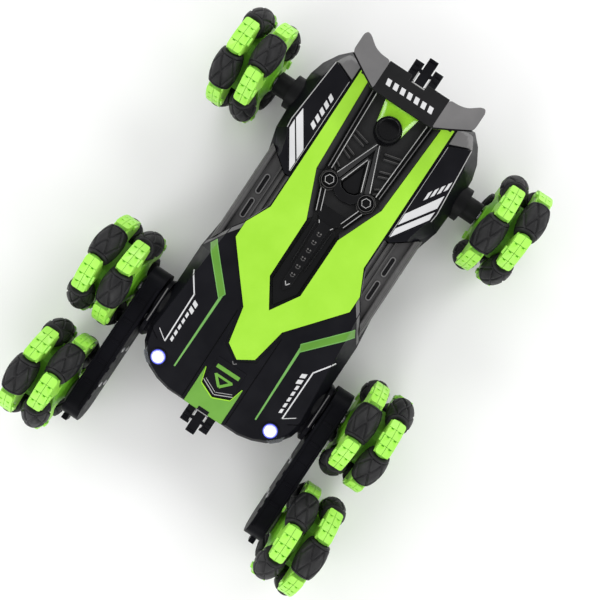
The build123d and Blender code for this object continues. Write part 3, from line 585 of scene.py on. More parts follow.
def roof_z(x):
    """Height of the flat roof, of the hood that slopes to the nose, or of the short slope at the tail."""
    if x <= HOOD_BREAK_X:
        return ROOF_Z - max(0, TAIL_X + 6 - x) * 5 / 7
    return ROOF_Z - (ROOF_Z - NOSE_Z) * (x - HOOD_BREAK_X) / (NOSE_X + 1 - HOOD_BREAK_X)


def over_roof(lift):
    """A height function that follows the roof and the hood."""
    return lambda x, y: roof_z(x) + lift


def inset_at(x, y):
    """Distance from a point in plan to the body's side."""
    point = Vector((x, abs(y)))
    half = [Vector(corner) for corner in [(TAIL_X, 0), *BODY_HALF, (NOSE_X, 0)]]
    best = 1e9
    for start, end in zip(half, half[1:]):
        run = end - start
        share = max(0, min(1, (point - start).dot(run) / run.length_squared))
        best = min(best, (point - start - run * share).length)
    return best


def skin_z(x, y):
    """Height of the shell's outer surface above a point in plan."""
    slope = (ROOF_Z - BELT_Z) / ROOF_INSET
    return min(roof_z(x), BELT_Z + slope * max(0, inset_at(x, y)))


def grid_rim(along, across):
    """Index pairs round the edge of a grid, in order."""
    rim = [(i, 0) for i in range(along)] + [(along, j) for j in range(across)]
    return rim + [(i, across) for i in range(along, 0, -1)] + [(0, j) for j in range(across, 0, -1)]


def add_grid_faces(bm, grid):
    for low, high in zip(grid, grid[1:]):
        for j in range(len(low) - 1):
            bm.faces.new((low[j], high[j], high[j + 1], low[j + 1]))


def add_patch(bm, corners, lift, thick=0.5, along=12, across=4, height=skin_z, mirror=1):
    """Adds a thin closed plate over four plan corners that follows a height function."""
    a, b, c, d = [Vector((x, mirror * y)) for x, y in corners]
    layers = []
    for drop in (0, thick):
        grid = []
        for i in range(along + 1):
            u = i / along
            near, far = a * (1 - u) + b * u, d * (1 - u) + c * u
            row = [near * (1 - j / across) + far * (j / across) for j in range(across + 1)]
            grid.append([bm.verts.new((p.x, p.y, height(p.x, p.y) + lift - drop)) for p in row])
        layers.append(grid)
        add_grid_faces(bm, grid)
    rim = grid_rim(along, across)
    for (i, j), (k, m) in zip(rim, rim[1:] + rim[:1]):
        bm.faces.new((layers[0][i][j], layers[0][k][m], layers[1][k][m], layers[1][i][j]))


def strip_corners(start, end, width):
    """Plan corners of a straight band of a given width between two points."""
    start, end = Vector(start), Vector(end)
    run = end - start
    side = Vector((-run.y, run.x)).normalized() * width / 2
    return [start - side, end - side, end + side, start + side]


def add_bands(bm, bands, lift, thick=0.5, along=10, height=skin_z, mirror=1):
    """Adds straight bands, each with a start, an end and a width, that follow a height function."""
    for start, end, width in bands:
        add_patch(bm, strip_corners(start, end, width), lift, thick, along, 1, height, mirror)


def cut_copy(node, cutter_bm, name, look, bevel):
    """Cuts closed prisms (in millimetres) from a copy of a CAD node, which takes the node's place."""
    base_bm = bmesh.new()
    base_bm.from_mesh(NODES[node].data)
    bmesh.ops.remove_doubles(base_bm, verts=base_bm.verts, dist=1e-6)
    bmesh.ops.dissolve_limit(base_bm, angle_limit=radians(0.5), verts=base_bm.verts, edges=base_bm.edges)
    base_mesh = bpy.data.meshes.new("work")
    base_bm.to_mesh(base_mesh)
    base_bm.free()
    base = bpy.data.objects.new("work", base_mesh)
    cutter = bpy.data.objects.new("cutters", to_mesh("cutters", cutter_bm))
    for thing in (base, cutter):
        bpy.context.scene.collection.objects.link(thing)
    cut = base.modifiers.new("cut", "BOOLEAN")
    cut.object = cutter
    cut.operation = "DIFFERENCE"
    cut.solver = "EXACT"
    bpy.context.view_layer.update()
    depsgraph = bpy.context.evaluated_depsgraph_get()
    mesh = bpy.data.meshes.new_from_object(base.evaluated_get(depsgraph))
    mesh.name = name
    mesh.materials.clear()
    for thing in (base, cutter):
        bpy.data.objects.remove(thing)
    place_mesh(name, mesh, look, bevel=bevel, replaces=(node,))


# Waist pods: where the side panels step down between the rear flank and the hood.
WAIST_FRONT = [(37.4, -37), (44.8, -19.8), (60.8, 4.5)]
WAIST_REAR = [(37.4, -60), (41.5, -60), (57, -72), (60.8, -75)]
WAIST_CUT_Z = 53
GROOVE_REACH = 3  # a groove's cutter stands out of the skin by this


def between(table, y):
    """Straight-line reading of a table of (y, x) pairs."""
    for (y0, x0), (y1, x1) in zip(table, table[1:]):
        if y <= y1:
            return x0 + (x1 - x0) * (y - y0) / (y1 - y0)
    return table[-1][1]


def groove(bm, start, end, width, depth, side=1):
    """Adds a cutter for a groove along a straight line on the body's skin."""
    add_bands(bm, [(start, end, width)], GROOVE_REACH, GROOVE_REACH + depth, mirror=side)


def build_shell():
    bm = bmesh.new()
    for side in (1, -1):
        waist = [(between(WAIST_REAR, y), side * y) for y in (37.4, 41.5, 57, 62)]
        waist += [(between(WAIST_FRONT, y), side * y) for y in (62, 44.8, 37.4)]
        add_prism(bm, waist, WAIST_CUT_Z, 70)
        # Shut lines: hood centre panel, rear corner panel, flank panel and lamp housings.
        groove(bm, (32, 17.4), (102, 17.4), 0.7, 0.8, side)
        groove(bm, (-141, 54), (-134.2, 38.6), 0.8, 0.9, side)
        groove(bm, (-133, 37.6), (-61.5, 37.6), 0.7, 0.9, side)
        groove(bm, (72, 61.5), (78, 52), 0.6, 0.8, side)
    cut_copy("upper_shell", bm, "shell_moulding", "shell_black", 0.7)


def add_pod(bm, side):
    """The stepped side panel of the waist, as one section swept between slanted ends."""
    section = [
        (37.5, 52), (37.5, 60.6), (38.6, 60.2), (40, 56.2), (40.8, 56), (41.2, 57.4), (43, 57.2),
        (43.4, 55.4), (44.6, 55.2), (45, 56.2), (45.8, 56.1), (46.6, 53.8), (54, 53.4), (54.6, 55.6),
        (55.4, 56), (57.6, 54.8), (58, 53), (58.6, 52.6), (59.4, 50.4), (60.3, 47.2), (60.3, 46),
        (55, 46),
    ]
    rear = [(between(WAIST_REAR, y) + 0.3, side * y, z) for y, z in section]
    front = [(between(WAIST_FRONT, y) - 0.3, side * y, z) for y, z in section]
    add_loft(bm, rear, front)


def stadium(x0, x1, y, half, steps=6):
    """Plan outline of a slot with round ends."""
    points = []
    for centre, start in ((x1 - half, -pi / 2), (x0 + half, pi / 2)):
        for i in range(steps + 1):
            angle = start + pi * i / steps
            points.append((centre + half * cos(angle), y + half * sin(angle)))
    return points


def add_ring(bm, outer, inner, low, high):
    """Adds a closed upright band between two plan outlines with equal numbers of points."""
    rings = []
    for outline, z in ((outer, low), (outer, high), (inner, high), (inner, low)):
        rings.append([bm.verts.new((x, y, z)) for x, y in outline])
    for a, b in zip(rings, rings[1:] + rings[:1]):
        for i in range(len(outer)):
            j = (i + 1) % len(outer)
            bm.faces.new((a[i], a[j], b[j], b[i]))


def build_waist():
    for name, side in SIDES:
        bm = bmesh.new()
        add_pod(bm, side)
        finish_piece(f"waist_pod_{name}", bm, "pod_charcoal", "chassis_charcoal", 0.25)
        bm, rims, y = bmesh.new(), bmesh.new(), side * 50
        for x0, x1 in ((-54.5, -39.2), (-35.7, -20.4)):
            add_prism(bm, stadium(x0 + 0.7, x1 - 0.7, y, 1.3), 53.2, 53.9)
            add_ring(rims, stadium(x0, x1, y, 2.1), stadium(x0 + 0.8, x1 - 0.8, y, 1.3), 53, 54.4)
        finish_piece(f"waist_slots_{name}", bm, "fitting_black", bevel=0.15)
        finish_piece(f"waist_slot_rims_{name}", rims, "tip_grey", "chassis_charcoal", 0.12)
        bm = bmesh.new()
        add_patch(bm, [(-19.2, 44.6), (5.6, 61.6), (8.6, 61.9), (-14.2, 45)], 0.35, 1.6, 10, 3, mirror=side)
        facet = [(-36.4, 38.3), (-21.5, 44.9), (-19.6, 45.6), (-33, 38.2)]
        add_patch(bm, facet, 0.2, 5, 6, 2, lambda x, y: 60.6, side)
        finish_piece(f"waist_facets_{name}", bm, "tip_grey", "deck_black", 0.2)


def build_flanks():
    """Rear side panels with their silver edge, grey corner facets and printed bars."""
    for name, side in SIDES:
        bm = bmesh.new()
        outline = [(-139.6, 53), (-133.4, 38.4), (-62.6, 38.4), (-61.6, 40.2), (-86, 56.2), (-92, 57)]
        add_prism(bm, [(x, side * y) for x, y in outline], ROOF_Z - 3, ROOF_Z + 0.5)
        finish_piece(f"flank_panel_{name}", bm, "shell_black", bevel=0.4)
        bm = bmesh.new()
        flat = lambda x, y: ROOF_Z
        edges = [((-139.2, 53), (-92, 57), 0.55), ((-92, 57), (-86, 56.3), 0.5)]
        add_bands(bm, [*edges, ((-133, 38.7), (-63, 38.7), 0.3)], 0.62, height=flat, mirror=side)
        finish_piece(f"flank_edge_{name}", bm, "silver_print_and_painted_highlight", "deck_black")
        bm = bmesh.new()
        facet = [(-151, 49.6), (-141.2, 53.8), (-134.9, 38), (-147.5, 38)]
        add_patch(bm, facet, 0.8, 2.2, 10, 10, mirror=side)
        finish_piece(f"corner_facet_{name}", bm, "tip_grey", "deck_black", 0.3)
        bm = bmesh.new()
        bars = [[(-92.8, 55), (-86.4, 54.8), (-62.6, 39.3), (-69.6, 39.3)]]
        if side > 0:
            bars.append([(-105, 54.4), (-95.6, 54.9), (-72.4, 39.3), (-81, 39.3)])
            for step in range(4):
                x, y = -115.5 + 4 * step, 53.8 - 2.6 * step
                bars.append([(x, y), (x + 6, y), (x + 8.6, y - 1.6), (x + 2.6, y - 1.6)])
        else:
            bars.append([(-102, 54.4), (-94.2, 54.9), (-71.4, 39.3), (-79.4, 39.3)])
            for step in range(5):
                x = -120 + 5.2 * step
                bars.append([(x, 44.6), (x + 3.4, 44.6), (x + 5.6, 41), (x + 2.2, 41)])
        for corners in bars:
            add_patch(bm, corners, 0.58, 0.3, 4, 2, flat, side)
        finish_piece(f"flank_bars_{name}", bm, "print_white", "shell_black")


def build_hood():
    """Centre panel with its mark, printed stripes and lines."""
    bm = bmesh.new()
    outline = [*mirrored([(54.8, 12.4), (34, 16.9), (102.4, 16.9)]), (61.6, 0)]
    add_prism(bm, outline, 44, over_roof(0.45))
    finish_piece("hood_centre_panel", bm, "shell_black", bevel=0.35)
    bm, green, pale, white = bmesh.new(), bmesh.new(), bmesh.new(), bmesh.new()
    for side in (1, -1):
        add_bands(bm, [((62.3, 1.7), (64, 0), 0.6)], 0.6, 0.5, 3, over_roof(0), side)
        add_patch(green, [(0.4, 54.8), (28.2, 29.9), (32.2, 31.9), (4.2, 57.2)], 0.3, 0.6, 40, 6, mirror=side)
        edges = [((0.2, 54.6), (28, 29.7), 0.6), ((4.4, 57.4), (32.4, 32.1), 0.6)]
        add_bands(pale, [*edges, ((28, 29.9), (32.4, 32), 0.5)], 0.34, 0.5, 40, mirror=side)
        long_line = [(30, 30.4), (87, 32), (87, 33.1), (32.4, 32.3)]
        add_patch(pale, long_line, 0.18, 0.5, 20, 1, mirror=side)
        lines = [((25.6, 56.4), (39.2, 47), 0.9), ((38.8, 47), (76.4, 47), 0.9)]
        add_bands(white, [*lines, ((76.4, 47), (70.8, 54.6), 0.45)], 0.16, 0.5, 14, mirror=side)
        for step in range(7):
            x, y = 42 + 4.7 * step, 44.6
            tall = 3.4 if step < 2 else 1.9
            bar = [(x, y), (x + 3.2, y), (x + 3.2 + tall * 0.5, y - tall), (x + tall * 0.5, y - tall)]
            add_patch(white, bar, 0.16, 0.5, 3, 2, mirror=side)
    finish_piece("hood_mark", bm, "tip_grey", "shell_black")
    finish_piece("hood_stripes", green, "print_green", "shell_lime")
    finish_piece("hood_pale_lines", pale, "print_pale_green", "shell_lime")
    finish_piece("hood_white_lines", white, "print_white", "shell_black")


def build_nose():
    """Green nose panel with its shield and emblem."""
    bm = bmesh.new()
    half = [(86, 11.6), (74.6, 14.9), (102.9, 14.9), (102.9, 4.2), (100.2, 4.2)]
    add_prism(bm, [*half, *[(x, -y) for x, y in reversed(half)], (91, 0)], 43, over_roof(1.1))
    finish_piece("nose_panel", bm, "nose_green", "shell_lime", 0.35)
    edge, shield_edge, emblem = bmesh.new(), bmesh.new(), bmesh.new()
    bar = [(68.9, -8.8), (71.6, -8.8), (71.6, 8.8), (68.9, 8.8)]
    add_patch(emblem, bar, 0.15, 0.4, 2, 6, over_roof(0.95))
    for side in (1, -1):
        bands = [((85.9, 11.4), (90.9, 0), 0.7), ((75.2, 14.4), (86, 11.4), 0.5)]
        add_bands(edge, bands, 1.2, 0.6, 4, over_roof(0), side)
        add_bands(shield_edge, [((82.9, 11.6), (88.3, 0.2), 0.5)], 0.8, 0.6, 4, over_roof(0), side)
        add_bands(shield_edge, [((81.6, 10.4), (86.4, 0.2), 0.35)], 1.1, 0.6, 4, over_roof(0), side)
        # The two sides of the emblem differ a little in height, so that they don't share a surface.
        leg = strip_corners((75.2, 6.6), (82.2, 0), 1.9)
        add_patch(emblem, leg, 0.17 + 0.02 * side, 0.4, 6, 2, over_roof(0.95), side)
    add_patch(emblem, strip_corners((75.6, 6.2), (75.6, -6.2), 1.6), 0.14, 0.4, 2, 6, over_roof(0.95))
    finish_piece("nose_panel_edge", edge, "shell_lime")
    bm = bmesh.new()
    add_prism(bm, mirrored([(64.5, 11), (82.6, 11)], (87.4, 0)), 44, over_roof(0.95))
    finish_piece("nose_shield", bm, "shell_black", bevel=0.35)
    finish_piece("nose_shield_edge", shield_edge, "silver_print_and_painted_highlight", "deck_black")
    finish_piece("nose_emblem", emblem, "nose_green", "shell_lime")


# ================= engine bay =================
BOLT_X = -72.5
BOLT_Y = 14.3
CAP_X = -120.5
APEX_X = -109.5


def add_run(bm, start, end, half_top, half_foot, low, high, side=1):
    """Adds a straight bar with sloping flanks between two plan points and two heights above the deck."""
    start, end = Vector(start), Vector(end)
    run = (end - start).normalized()
    off = Vector((-run.y, run.x))
    rings = []
    for half, z in ((half_foot, low), (half_top, high)):
        corners = [start - off * half, end - off * half, end + off * half, start + off * half]
        rings.append([(p.x, side * p.y, DECK_Z + z) for p in corners])
    add_loft(bm, *rings)


def add_on_deck(bm, outline, low, high):
    """Adds a prism between two heights above the deck."""
    add_prism(bm, outline, DECK_Z + low, DECK_Z + high)


def on_deck(centre):
    """Maps a turned profile onto an upright axis at a plan point, with its heights above the deck."""
    return lambda x, y, along: (centre[0] + x, centre[1] + y, DECK_Z + along)


def build_bay():
    """Floor, sloping side walls and transverse ribs of the engine bay, with lighter strips along the rib tops
    as painted highlights.
    """
    bm, rib_highlights = bmesh.new(), bmesh.new()
    add_on_deck(bm, mirrored(BAY_HALF, (BAY_TIP_X, 0)), -2, 0)
    wall_top = [(-139.3, 28.4), (-74, 25.2), (-43.4, 12.6)]
    wall_foot = [(-139.3, 23.6), (-76, 21), (-46.5, 10)]
    heights = (ROOF_Z + 0.7, ROOF_Z + 0.7, DECK_Z + 1, DECK_Z + 1)
    for side in (1, -1):
        for k in range(2):
            quad = [(x, side * y) for x, y in (wall_top[k], wall_top[k + 1], wall_foot[k + 1], wall_foot[k])]
            add_loft(bm, [(x, y, DECK_Z - 1.5) for x, y in quad], [(*p, z) for p, z in zip(quad, heights)])
        for x, reach in ((-109, 6.5), (-97.5, 9.6), (-85.8, 13.4)):
            for shift in (0, 3.4):
                start, end = (x + shift + 2.2, reach + shift * 0.3), (x + shift - 0.6, 18.6)
                add_run(bm, start, end, 0.6, 0.9, -0.5, 2, side)
                # A lighter charcoal strip along each rib's top is a painted highlight.
                start, end = (start[0] - 0.55, start[1] + 0.4), (end[0] - 0.55, end[1] - 0.4)
                add_run(rib_highlights, start, end, 0.14, 0.2, 1.6, 2.15, side)
    finish_piece("bay_floor", bm, "deck_black", bevel=0.2, replaces=("engine_deck",))
    finish_piece("bay_rib_painted_highlights", rib_highlights, "pod_charcoal", "deck_black")


def build_braces():
    """Rails along the bay, the V brace and the bracket at its foot, with painted highlights on their top
    edges: bright silver strips, and a dimmer grey strip on each outer rail.
    """
    bm = bmesh.new()
    for side in (1, -1):
        for start, end in (
            ((-138.8, 22.9), (-79.5, 19.9)), ((-138.8, 19.9), (-79.5, 17.4)),
            ((-66, 16.2), (-50.8, 10.4)), ((-66.5, 13.2), (-52.2, 7.8)),
        ):
            add_run(bm, start, end, 0.35, 1, -0.5, 3.4, side)
    finish_piece("bay_rails", bm, "deck_black", bevel=0.2)
    bm, dim_highlights = bmesh.new(), bmesh.new()
    # Thin strips along the bars' top edges are painted highlights: bright on most bars, dimmer on the outer
    # rails.
    for side in (1, -1):
        for edges, tall, start, end in (
            (dim_highlights, 3.75, (-138.4, 22.9), (-79.8, 19.9)), (bm, 3.75, (-138.4, 19.9), (-79.8, 17.4)),
            (bm, 3.75, (-65.4, 16), (-51.2, 10.6)), (bm, 3.75, (-66.2, 13.1), (-52.6, 7.95)),
            (bm, 4.5, (-109.2, 0.9), (-79.6, 12.8)), (bm, 4.5, (-97.2, 0.5), (-77, 7.6)),
        ):
            add_run(edges, start, end, 0.22, 0.34, tall - 0.8, tall, side)
    finish_piece("bay_bright_painted_highlights", bm, "silver_print_and_painted_highlight", "deck_black", 0.08)
    finish_piece("bay_dim_painted_highlights", dim_highlights, "tip_grey", "deck_black", 0.08)
    bm = bmesh.new()
    for side in (1, -1):
        add_run(bm, (APEX_X, 0.6), (-77.5, 11.4), 1.6, 2.4, -0.5, 4.1, side)
        add_run(bm, (-98.5, 0.6), (-76.5, 8.4), 0.8, 1.4, -0.5, 4.1, side)
    finish_piece("v_brace", bm, "deck_black", bevel=0.3)
    bm = bmesh.new()
    arch = [(-73, 5), (-78, 9.5), (-70.5, 10.5), (-66.2, 6)]
    add_on_deck(bm, [*mirrored(arch, (-64.8, 0)), (-71.6, 0)], -0.5, 5.4)
    add_on_deck(bm, [(-94, 0), *mirrored([(-76, 6.6), (-73.4, 4.6)], (-72.2, 0))], -0.5, 2.2)
    finish_piece("arch_bracket", bm, "fitting_black", bevel=0.8, segments=3)


def build_spine():
    """Spine forward of the bay, with its ridge, vents and chevrons."""
    bm = bmesh.new()
    spine = [(-57.5, 8.6), (-49.6, 8.6), (-49, 6.2), (-46.5, 6.2), (-44, 9.8), (2, 9.8)]
    add_on_deck(bm, mirrored(spine, (16.6, 0)), -0.5, 3)
    finish_piece("spine_base", bm, "fitting_black", bevel=0.35)
    bm, vents, chevrons = bmesh.new(), bmesh.new(), bmesh.new()
    add_on_deck(bm, mirrored([(-47.2, 5.6), (-44.6, 3.9), (-12, 3.3), (0.5, 3.3)], (5.5, 0)), 2.6, 4.6)
    for side in (1, -1):
        add_run(bm, (-44.5, 6.3), (-13, 5.2), 0.4, 0.8, 2.6, 3.9, side)
        add_run(chevrons, (-1.4, 1.7), (0.9, 0), 0.28, 0.4, 4.3, 4.95, side)
        add_run(chevrons, (-47, 5.4), (-45.2, 4.2), 0.2, 0.3, 4.3, 4.85, side)
        for step in range(6):
            x = -39.5 + 6.3 * step
            add_on_deck(vents, circle(0.62, 12, (x, side * 0.95)), 4.2, 4.95)
            add_run(vents, (x + 1.2, 1.5), (x + 2.1, 0.1), 0.25, 0.4, 4.3, 4.9, side)
    finish_piece("spine_ridge", bm, "fitting_black", bevel=0.3)
    finish_piece("spine_vents", vents, "pod_charcoal", "fitting_black", 0.12)
    finish_piece("spine_chevron", chevrons, "silver_print_and_painted_highlight", "deck_black")


def build_cushion():
    """Glossy lime cushion behind the cap."""
    bm = bmesh.new()
    steps = 14
    top = []
    for i in range(steps + 1):
        x, half, u = -139.2 + 17.4 * i / steps, 13.2 - 3.6 * i / steps, 2 * i / steps - 1
        row = []
        for j in range(steps + 1):
            v = -1 + 2 * j / steps
            crown = 2.6 * (1 - v**4) * (1 - u**6) ** 0.5
            row.append(bm.verts.new((x, half * v, DECK_Z + 1.6 + crown)))
        top.append(row)
    add_grid_faces(bm, top)
    rim = grid_rim(steps, steps)
    foot = {(i, j): bm.verts.new((top[i][j].co.x, top[i][j].co.y, DECK_Z - 0.5)) for i, j in rim}
    for (i, j), (k, m) in zip(rim, rim[1:] + rim[:1]):
        bm.faces.new((top[i][j], top[k][m], foot[(k, m)], foot[(i, j)]))
    bm.faces.new([foot[key] for key in rim])
    finish_piece("lime_cushion", bm, "lime_gloss", "shell_lime", angle=40)


def build_cap_and_bolts():
    bm = bmesh.new()
    cap = [(-0.3, 0), (-0.3, 9.6), (3.6, 9.6), (4.4, 9), (8, 8.9)]
    cap += [(8.7, 8.3), (8.9, 7.4), (8.4, 6.8), (8.9, 5.2), (9, 0)]
    add_turned(bm, cap, 64, on_deck((CAP_X, 0)))
    finish_piece("cap_moulding", bm, "fitting_black", bevel=0.2, replaces=("filler_cap",))
    # The thin silver hex rim and the dimmer charcoal rings on each bolt are painted highlights along its
    # edges.
    bm, bright_highlights, dim_highlights = bmesh.new(), bmesh.new(), bmesh.new()
    collar = [(3, 0), (3, 6.2), (5.2, 6), (5.8, 5.4), (5.8, 4.7), (5, 4.4), (5, 0)]
    for side in (1, -1):
        place = (BOLT_X, side * BOLT_Y)
        add_turned(bm, [(0, 0), (0, 7), (3.2, 7), (3.2, 0)], 8, on_deck(place))
        add_turned(bm, collar, 48, on_deck(place))
        for part, outer_r, inner_r, sides, low, high, start in (
            (bm, 4.3, 3.1, 6, 4.6, 6.9, pi / 6),
            (bright_highlights, 3.35, 3, 6, 6.55, 6.95, pi / 6),
            (dim_highlights, 6.95, 6.65, 8, 2.9, 3.3, pi / 8),
            (dim_highlights, 5.45, 5.25, 40, 5.45, 5.85, 0),
        ):
            rings = [circle(radius, sides, place, start) for radius in (outer_r, inner_r)]
            add_ring(part, *rings, DECK_Z + low, DECK_Z + high)
    finish_piece("bolt_heads", bm, "fitting_black", bevel=0.25, replaces=("deck_bolts",))
    finish_piece("bolt_bright_painted_highlights", bright_highlights, "silver_print_and_painted_highlight", "fitting_black")
    finish_piece("bolt_dim_painted_highlights", dim_highlights, "pod_charcoal", "fitting_black")


# ================= rear wing =================
WING_Z = 82
WING_TOP_Z = 85


def rounded(points, radius, steps=5):
    """Rounds every corner of a closed outline."""
    result = []
    count = len(points)
    for k in range(count):
        before, at, after = Vector(points[k - 1]), Vector(points[k]), Vector(points[(k + 1) % count])
        back, ahead = (before - at), (after - at)
        reach = min(radius, back.length * 0.45, ahead.length * 0.45)
        a, b = at + back.normalized() * reach, at + ahead.normalized() * reach
        for i in range(steps + 1):
            t = i / steps
            result.append(tuple(a * (1 - t) ** 2 + at * 2 * t * (1 - t) + b * t * t))
    return result


def build_wing():
    bm = bmesh.new()
    outline = mirrored([(-131.5, 22.35), (-152.7, 22.35), (-152.7, 5.9), (-148.6, 5.9)])
    add_prism(bm, outline, WING_Z, WING_TOP_Z - 0.15)
    for side in (1, -1):
        low, high = ROOF_Z - 1, WING_Z + 0.4
        leaning = [(-149.4, low), (-144, low), (-138.4, high), (-143.8, high)]
        add_prism(bm, leaning, side * 29.4, side * 32.6, lambda x, z, y: (x, y, z))
        add_box(bm, (-142.4, -136.8), (20, 34), (WING_Z - 1.2, WING_Z + 0.4), side)
    finish_piece("wing_centre", bm, "spoiler_black", bevel=0.45, replaces=("rear_spoiler",))
    for name, side in SIDES:
        bm = bmesh.new()
        tip = [(-131.6, 22.2), (-136, 30.4), (-143.6, 44), (-146.6, 45.5), (-157.6, 45.5), (-160.2, 44),
               (-159.4, 41), (-154.6, 34.8), (-153, 30), (-152.6, 22.2)]
        add_prism(bm, [(x, side * y) for x, y in rounded(tip, 2.6)], WING_Z + 0.1, WING_TOP_Z - 0.1)
        finish_piece(f"wing_tip_{name}", bm, "tip_grey", "spoiler_black", 0.45)
        bm = bmesh.new()
        edge = [(-131.9, 23), (-136.2, 31), (-143.9, 44.4)]
        bands = [(start, end, 1) for start, end in zip(edge, edge[1:])]
        add_bands(bm, bands, -0.03, 0.5, 6, lambda x, y: WING_TOP_Z, side)
        finish_piece(f"wing_front_edge_{name}", bm, "fitting_black", "spoiler_black")
    bm = bmesh.new()
    for step in range(7):
        y = -15.6 + 5.2 * step
        corners = [(-142.6, y - 2), (-138.4, y - 1.2), (-138.4, y + 1.9), (-142.6, y + 1.1)]
        add_patch(bm, corners, 0, 0.3, 2, 2, lambda x, y: WING_TOP_Z)
    finish_piece("wing_bars", bm, "print_white", "spoiler_black")


# ================= end clips =================
def build_clips():
    """Small latch details on the two end clips: a lip across each tongue and a pad on each ear."""
    for name, ear_x, tongue_x, slot_x, reach, z, back in (
        ("nose", 115.5, 120, 105, 8.5, 42, -1),
        ("tail", -171.7, -177, -158, 7.5, 56.5, 1),
    ):
        lips, edges, thin = bmesh.new(), bmesh.new(), (z - 0.2, z + 0.3)
        add_box(lips, (tongue_x, tongue_x + back * 1.6), (-3.3, 3.3), (z - 0.2, z + 1.2))
        for side in (1, -1):
            for shift in (0.6, 4.6):
                pad = (ear_x + back * shift, ear_x + back * (shift + 2.4))
                add_box(lips, pad, (6.4, 10.2), (z - 0.2, z + 0.9), side)
            add_box(lips, (ear_x + back * 4, ear_x + back * 6.4), (2.8, 5.8), (z - 1.6, z + 0.5), side)
            add_box(edges, (slot_x - back * 0.4, slot_x - back * reach), (4.35, 5), thin, side)
        add_box(edges, (slot_x + back * 0.3, slot_x + back * 1), (-5, 5), thin)
        finish_piece(f"{name}_clip_lips", lips, "shell_black", bevel=0.3)
        finish_piece(f"{name}_clip_edges", edges, "silver_print_and_painted_highlight", "shell_black", 0.1)


# ================= headlights =================
def build_lamps():
    for name, side in SIDES:
        def at_lamp(x, y, along, side=side):
            tilt = along - (x - 1) * 0.16
            return (LAMP_X + x, side * LAMP_Y + y, tilt)
        bm = bmesh.new()
        bezel = [(46, 0), (46, 6), (50.5, 6), (50.5, 5.5), (49.6, 5.3), (49.2, 0)]
        add_turned(bm, bezel, 40, at_lamp)
        finish_piece(f"lamp_bezel_{name}", bm, "fitting_black", "lens_clear", 0.2)
        bm = bmesh.new()
        dome = [(49.1, 0), (49.1, 5.2), (49.9, 5), (50.6, 3.6), (51, 1.8), (51.1, 0)]
        add_turned(bm, dome, 40, at_lamp)
        finish_piece(f"lamp_glow_{name}", bm, "lamp_glow", "led_white", angle=60)


# ================= swinging arms =================
ARM_INNER_Y = 68
ARM_OUTER_Y = 80.6
ARM_TOP_Z = 51


def build_arm(name, side):
    """Mouldings on the arm: an inner ledge, clip tabs, screws, ribs on the outer face and a front collar."""
    body = f"{name}_arm"
    bm = bmesh.new()
    tabs, bars = (ARM_INNER_Y - 0.6, ARM_INNER_Y + 1.2), (ARM_INNER_Y + 3, ARM_OUTER_Y - 2.6)
    for xs, ys, zs in (
        ((50, 147), (ARM_INNER_Y + 0.2, ARM_INNER_Y + 2), (-0.4, 1.1)),
        ((48, 147), (ARM_OUTER_Y - 1.6, ARM_OUTER_Y - 0.3), (-0.4, 0.7)),
        *[((x, x + 3.4), tabs, (-1.6, 0.6)) for x in (104, 112, 126, 134)],
        *[((x, x + 2), bars, (-0.4, 0.45)) for x in range(62, 127, 16)],
        *[((66, 132), (ARM_OUTER_Y - 0.3, ARM_OUTER_Y + 0.7), (z, z + 1.2)) for z in (-23, -6)],
    ):
        add_box(bm, xs, ys, [ARM_TOP_Z + z for z in zs], side)
    finish_piece(f"{name}_arm_ribs", bm, "arm_black", bevel=0.3, body=body)
    bm = bmesh.new()
    for x in (70, 98, 126):
        for z in (30.5, 43.5):
            def at_screw(a, b, along, x=x, z=z):
                return (x + a, side * (ARM_INNER_Y - along), z + b)
            add_turned(bm, [(-0.6, 0), (-0.6, 2.2), (0.2, 2.2), (0.5, 1.7), (0.5, 0)], 24, at_screw)
    finish_piece(f"{name}_arm_screws", bm, "screw_steel", bevel=0.12, body=body)
    bm = bmesh.new()

    def at_front(a, b, along):
        return (140 + a, side * along, AXLE_Z + b)

    add_turned(bm, [(80.4, 3.1), (80.4, 10.5), (82.4, 10.2), (83, 7), (83, 3.1)], 40, at_front)
    finish_piece(f"{name}_arm_collar", bm, "tip_grey", "arm_black", 0.2, body=body)


def build_pivot_housings():
    """The black boss block on the chassis behind each arm, and the grey strip on its top edge."""
    for name, side in SIDES:
        bm = bmesh.new()
        outline = [(40.5, 16), (83, 16), (83, 44), (76, 49.5), (48, 49.5), (40.5, 44)]
        add_prism(bm, rounded(outline, 5), 63.3, 66.6, lambda x, z, y: (x, side * y, z))
        inner = [(43.5, 19), (80, 19), (80, 42.5), (74.5, 46.6), (49.5, 46.6), (43.5, 42.5)]
        add_prism(bm, rounded(inner, 4), 60, 67.1, lambda x, z, y: (x, side * y, z))
        finish_piece(f"pivot_housing_{name}", bm, "arm_black", bevel=0.5)
        bm = bmesh.new()
        add_box(bm, (46, 72), (64.4, 65.2), (49.2, 49.9), side)
        finish_piece(f"pivot_housing_edge_{name}", bm, "tip_grey", "arm_black", 0.2)


build_shell()
build_waist()
build_flanks()
build_hood()
build_nose()
build_bay()
build_braces()
build_spine()
build_cushion()
build_cap_and_bolts()
build_wing()
build_clips()
build_lamps()
build_pivot_housings()
for side_name, side_sign in SIDES:
    build_arm(side_name, side_sign)
    for half in ("inner", "outer"):
        soften(NODES[f"{side_name}_arm_{half}_case"], 0.7, NODE_EDGE_ANGLE)
for node, width in (("lime_cover", 0.45), ("chassis_tub", 0.5), ("battery_door", 0.5)):
    soften(NODES[node], width, NODE_EDGE_ANGLE)


# ================= studio =================
FLOOR_HALF = 3000
RING_LIGHTS = 6
RING_RADIUS = 1.35
RING_HEIGHT = 0.85
RING_POWERS = (5.9, 5)
SOFT_BOX = (0.9, 0.5)
LIGHT_AIM = Vector((0, 0, 0.03))
SKY_STRENGTH = 0.58


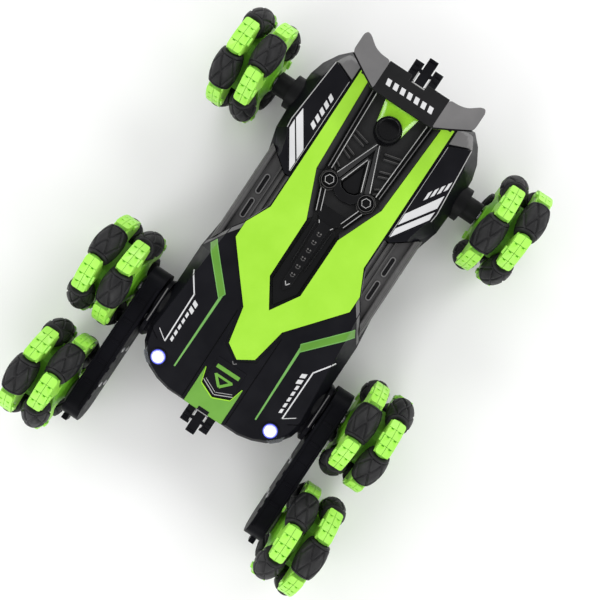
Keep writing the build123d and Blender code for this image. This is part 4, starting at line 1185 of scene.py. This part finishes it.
def build_floor():
    bm = bmesh.new()
    bmesh.ops.create_grid(bm, x_segments=8, y_segments=8, size=FLOOR_HALF * MM)
    mesh = bpy.data.meshes.new("floor")
    bm.to_mesh(mesh)
    bm.free()
    material, shader, place = new_material("floor_paper")
    colour = blend_colours(noise(place, 300, 2), (0.90, 0.90, 0.90), (0.92, 0.92, 0.92))
    set_inputs(shader, Base_Color=colour, Roughness=0.9)
    mesh.materials.append(material)
    floor = bpy.data.objects.new("floor", mesh)
    bpy.context.scene.collection.objects.link(floor)


def add_soft_box(name, place, power):
    data = bpy.data.lights.new(name, "AREA")
    data.shape = "RECTANGLE"
    data.size, data.size_y = SOFT_BOX
    data.energy = power
    lamp = bpy.data.objects.new(name, data)
    bpy.context.scene.collection.objects.link(lamp)
    lamp.location = place
    lamp.rotation_mode = "QUATERNION"
    lamp.rotation_quaternion = (LIGHT_AIM - Vector(place)).to_track_quat("-Z", "Y")


build_floor()
# A ring of low soft boxes lights the floor and the colours, and leaves the flat black tops to the dimmer sky.
for index in range(RING_LIGHTS):
    turn = 2 * pi * (index + 0.5) / RING_LIGHTS
    place = (RING_RADIUS * cos(turn), RING_RADIUS * sin(turn), RING_HEIGHT)
    add_soft_box(f"soft_box_{index}", place, RING_POWERS[index * 2 // RING_LIGHTS])
world = bpy.data.worlds.new("studio")
bpy.context.scene.world = world
world.use_nodes = True
world.node_tree.nodes["Background"].inputs["Color"].default_value = (1, 1, 1, 1)
world.node_tree.nodes["Background"].inputs["Strength"].default_value = SKY_STRENGTH
bpy.context.scene.view_settings.view_transform = "Standard"

# ================= camera: straight above the car =================
CAMERA_PLACE = (0.0038, 0.0132, 0.598)
CAMERA_TURN = 123.55
LENS = 49.15
SENSOR = 36
camera_data = bpy.data.cameras.new("camera")
camera_data.lens = LENS
camera_data.sensor_width = SENSOR
camera = bpy.data.objects.new("camera", camera_data)
bpy.context.scene.collection.objects.link(camera)
camera.location = CAMERA_PLACE
camera.rotation_euler = (0, 0, radians(CAMERA_TURN))
bpy.context.scene.camera = camera
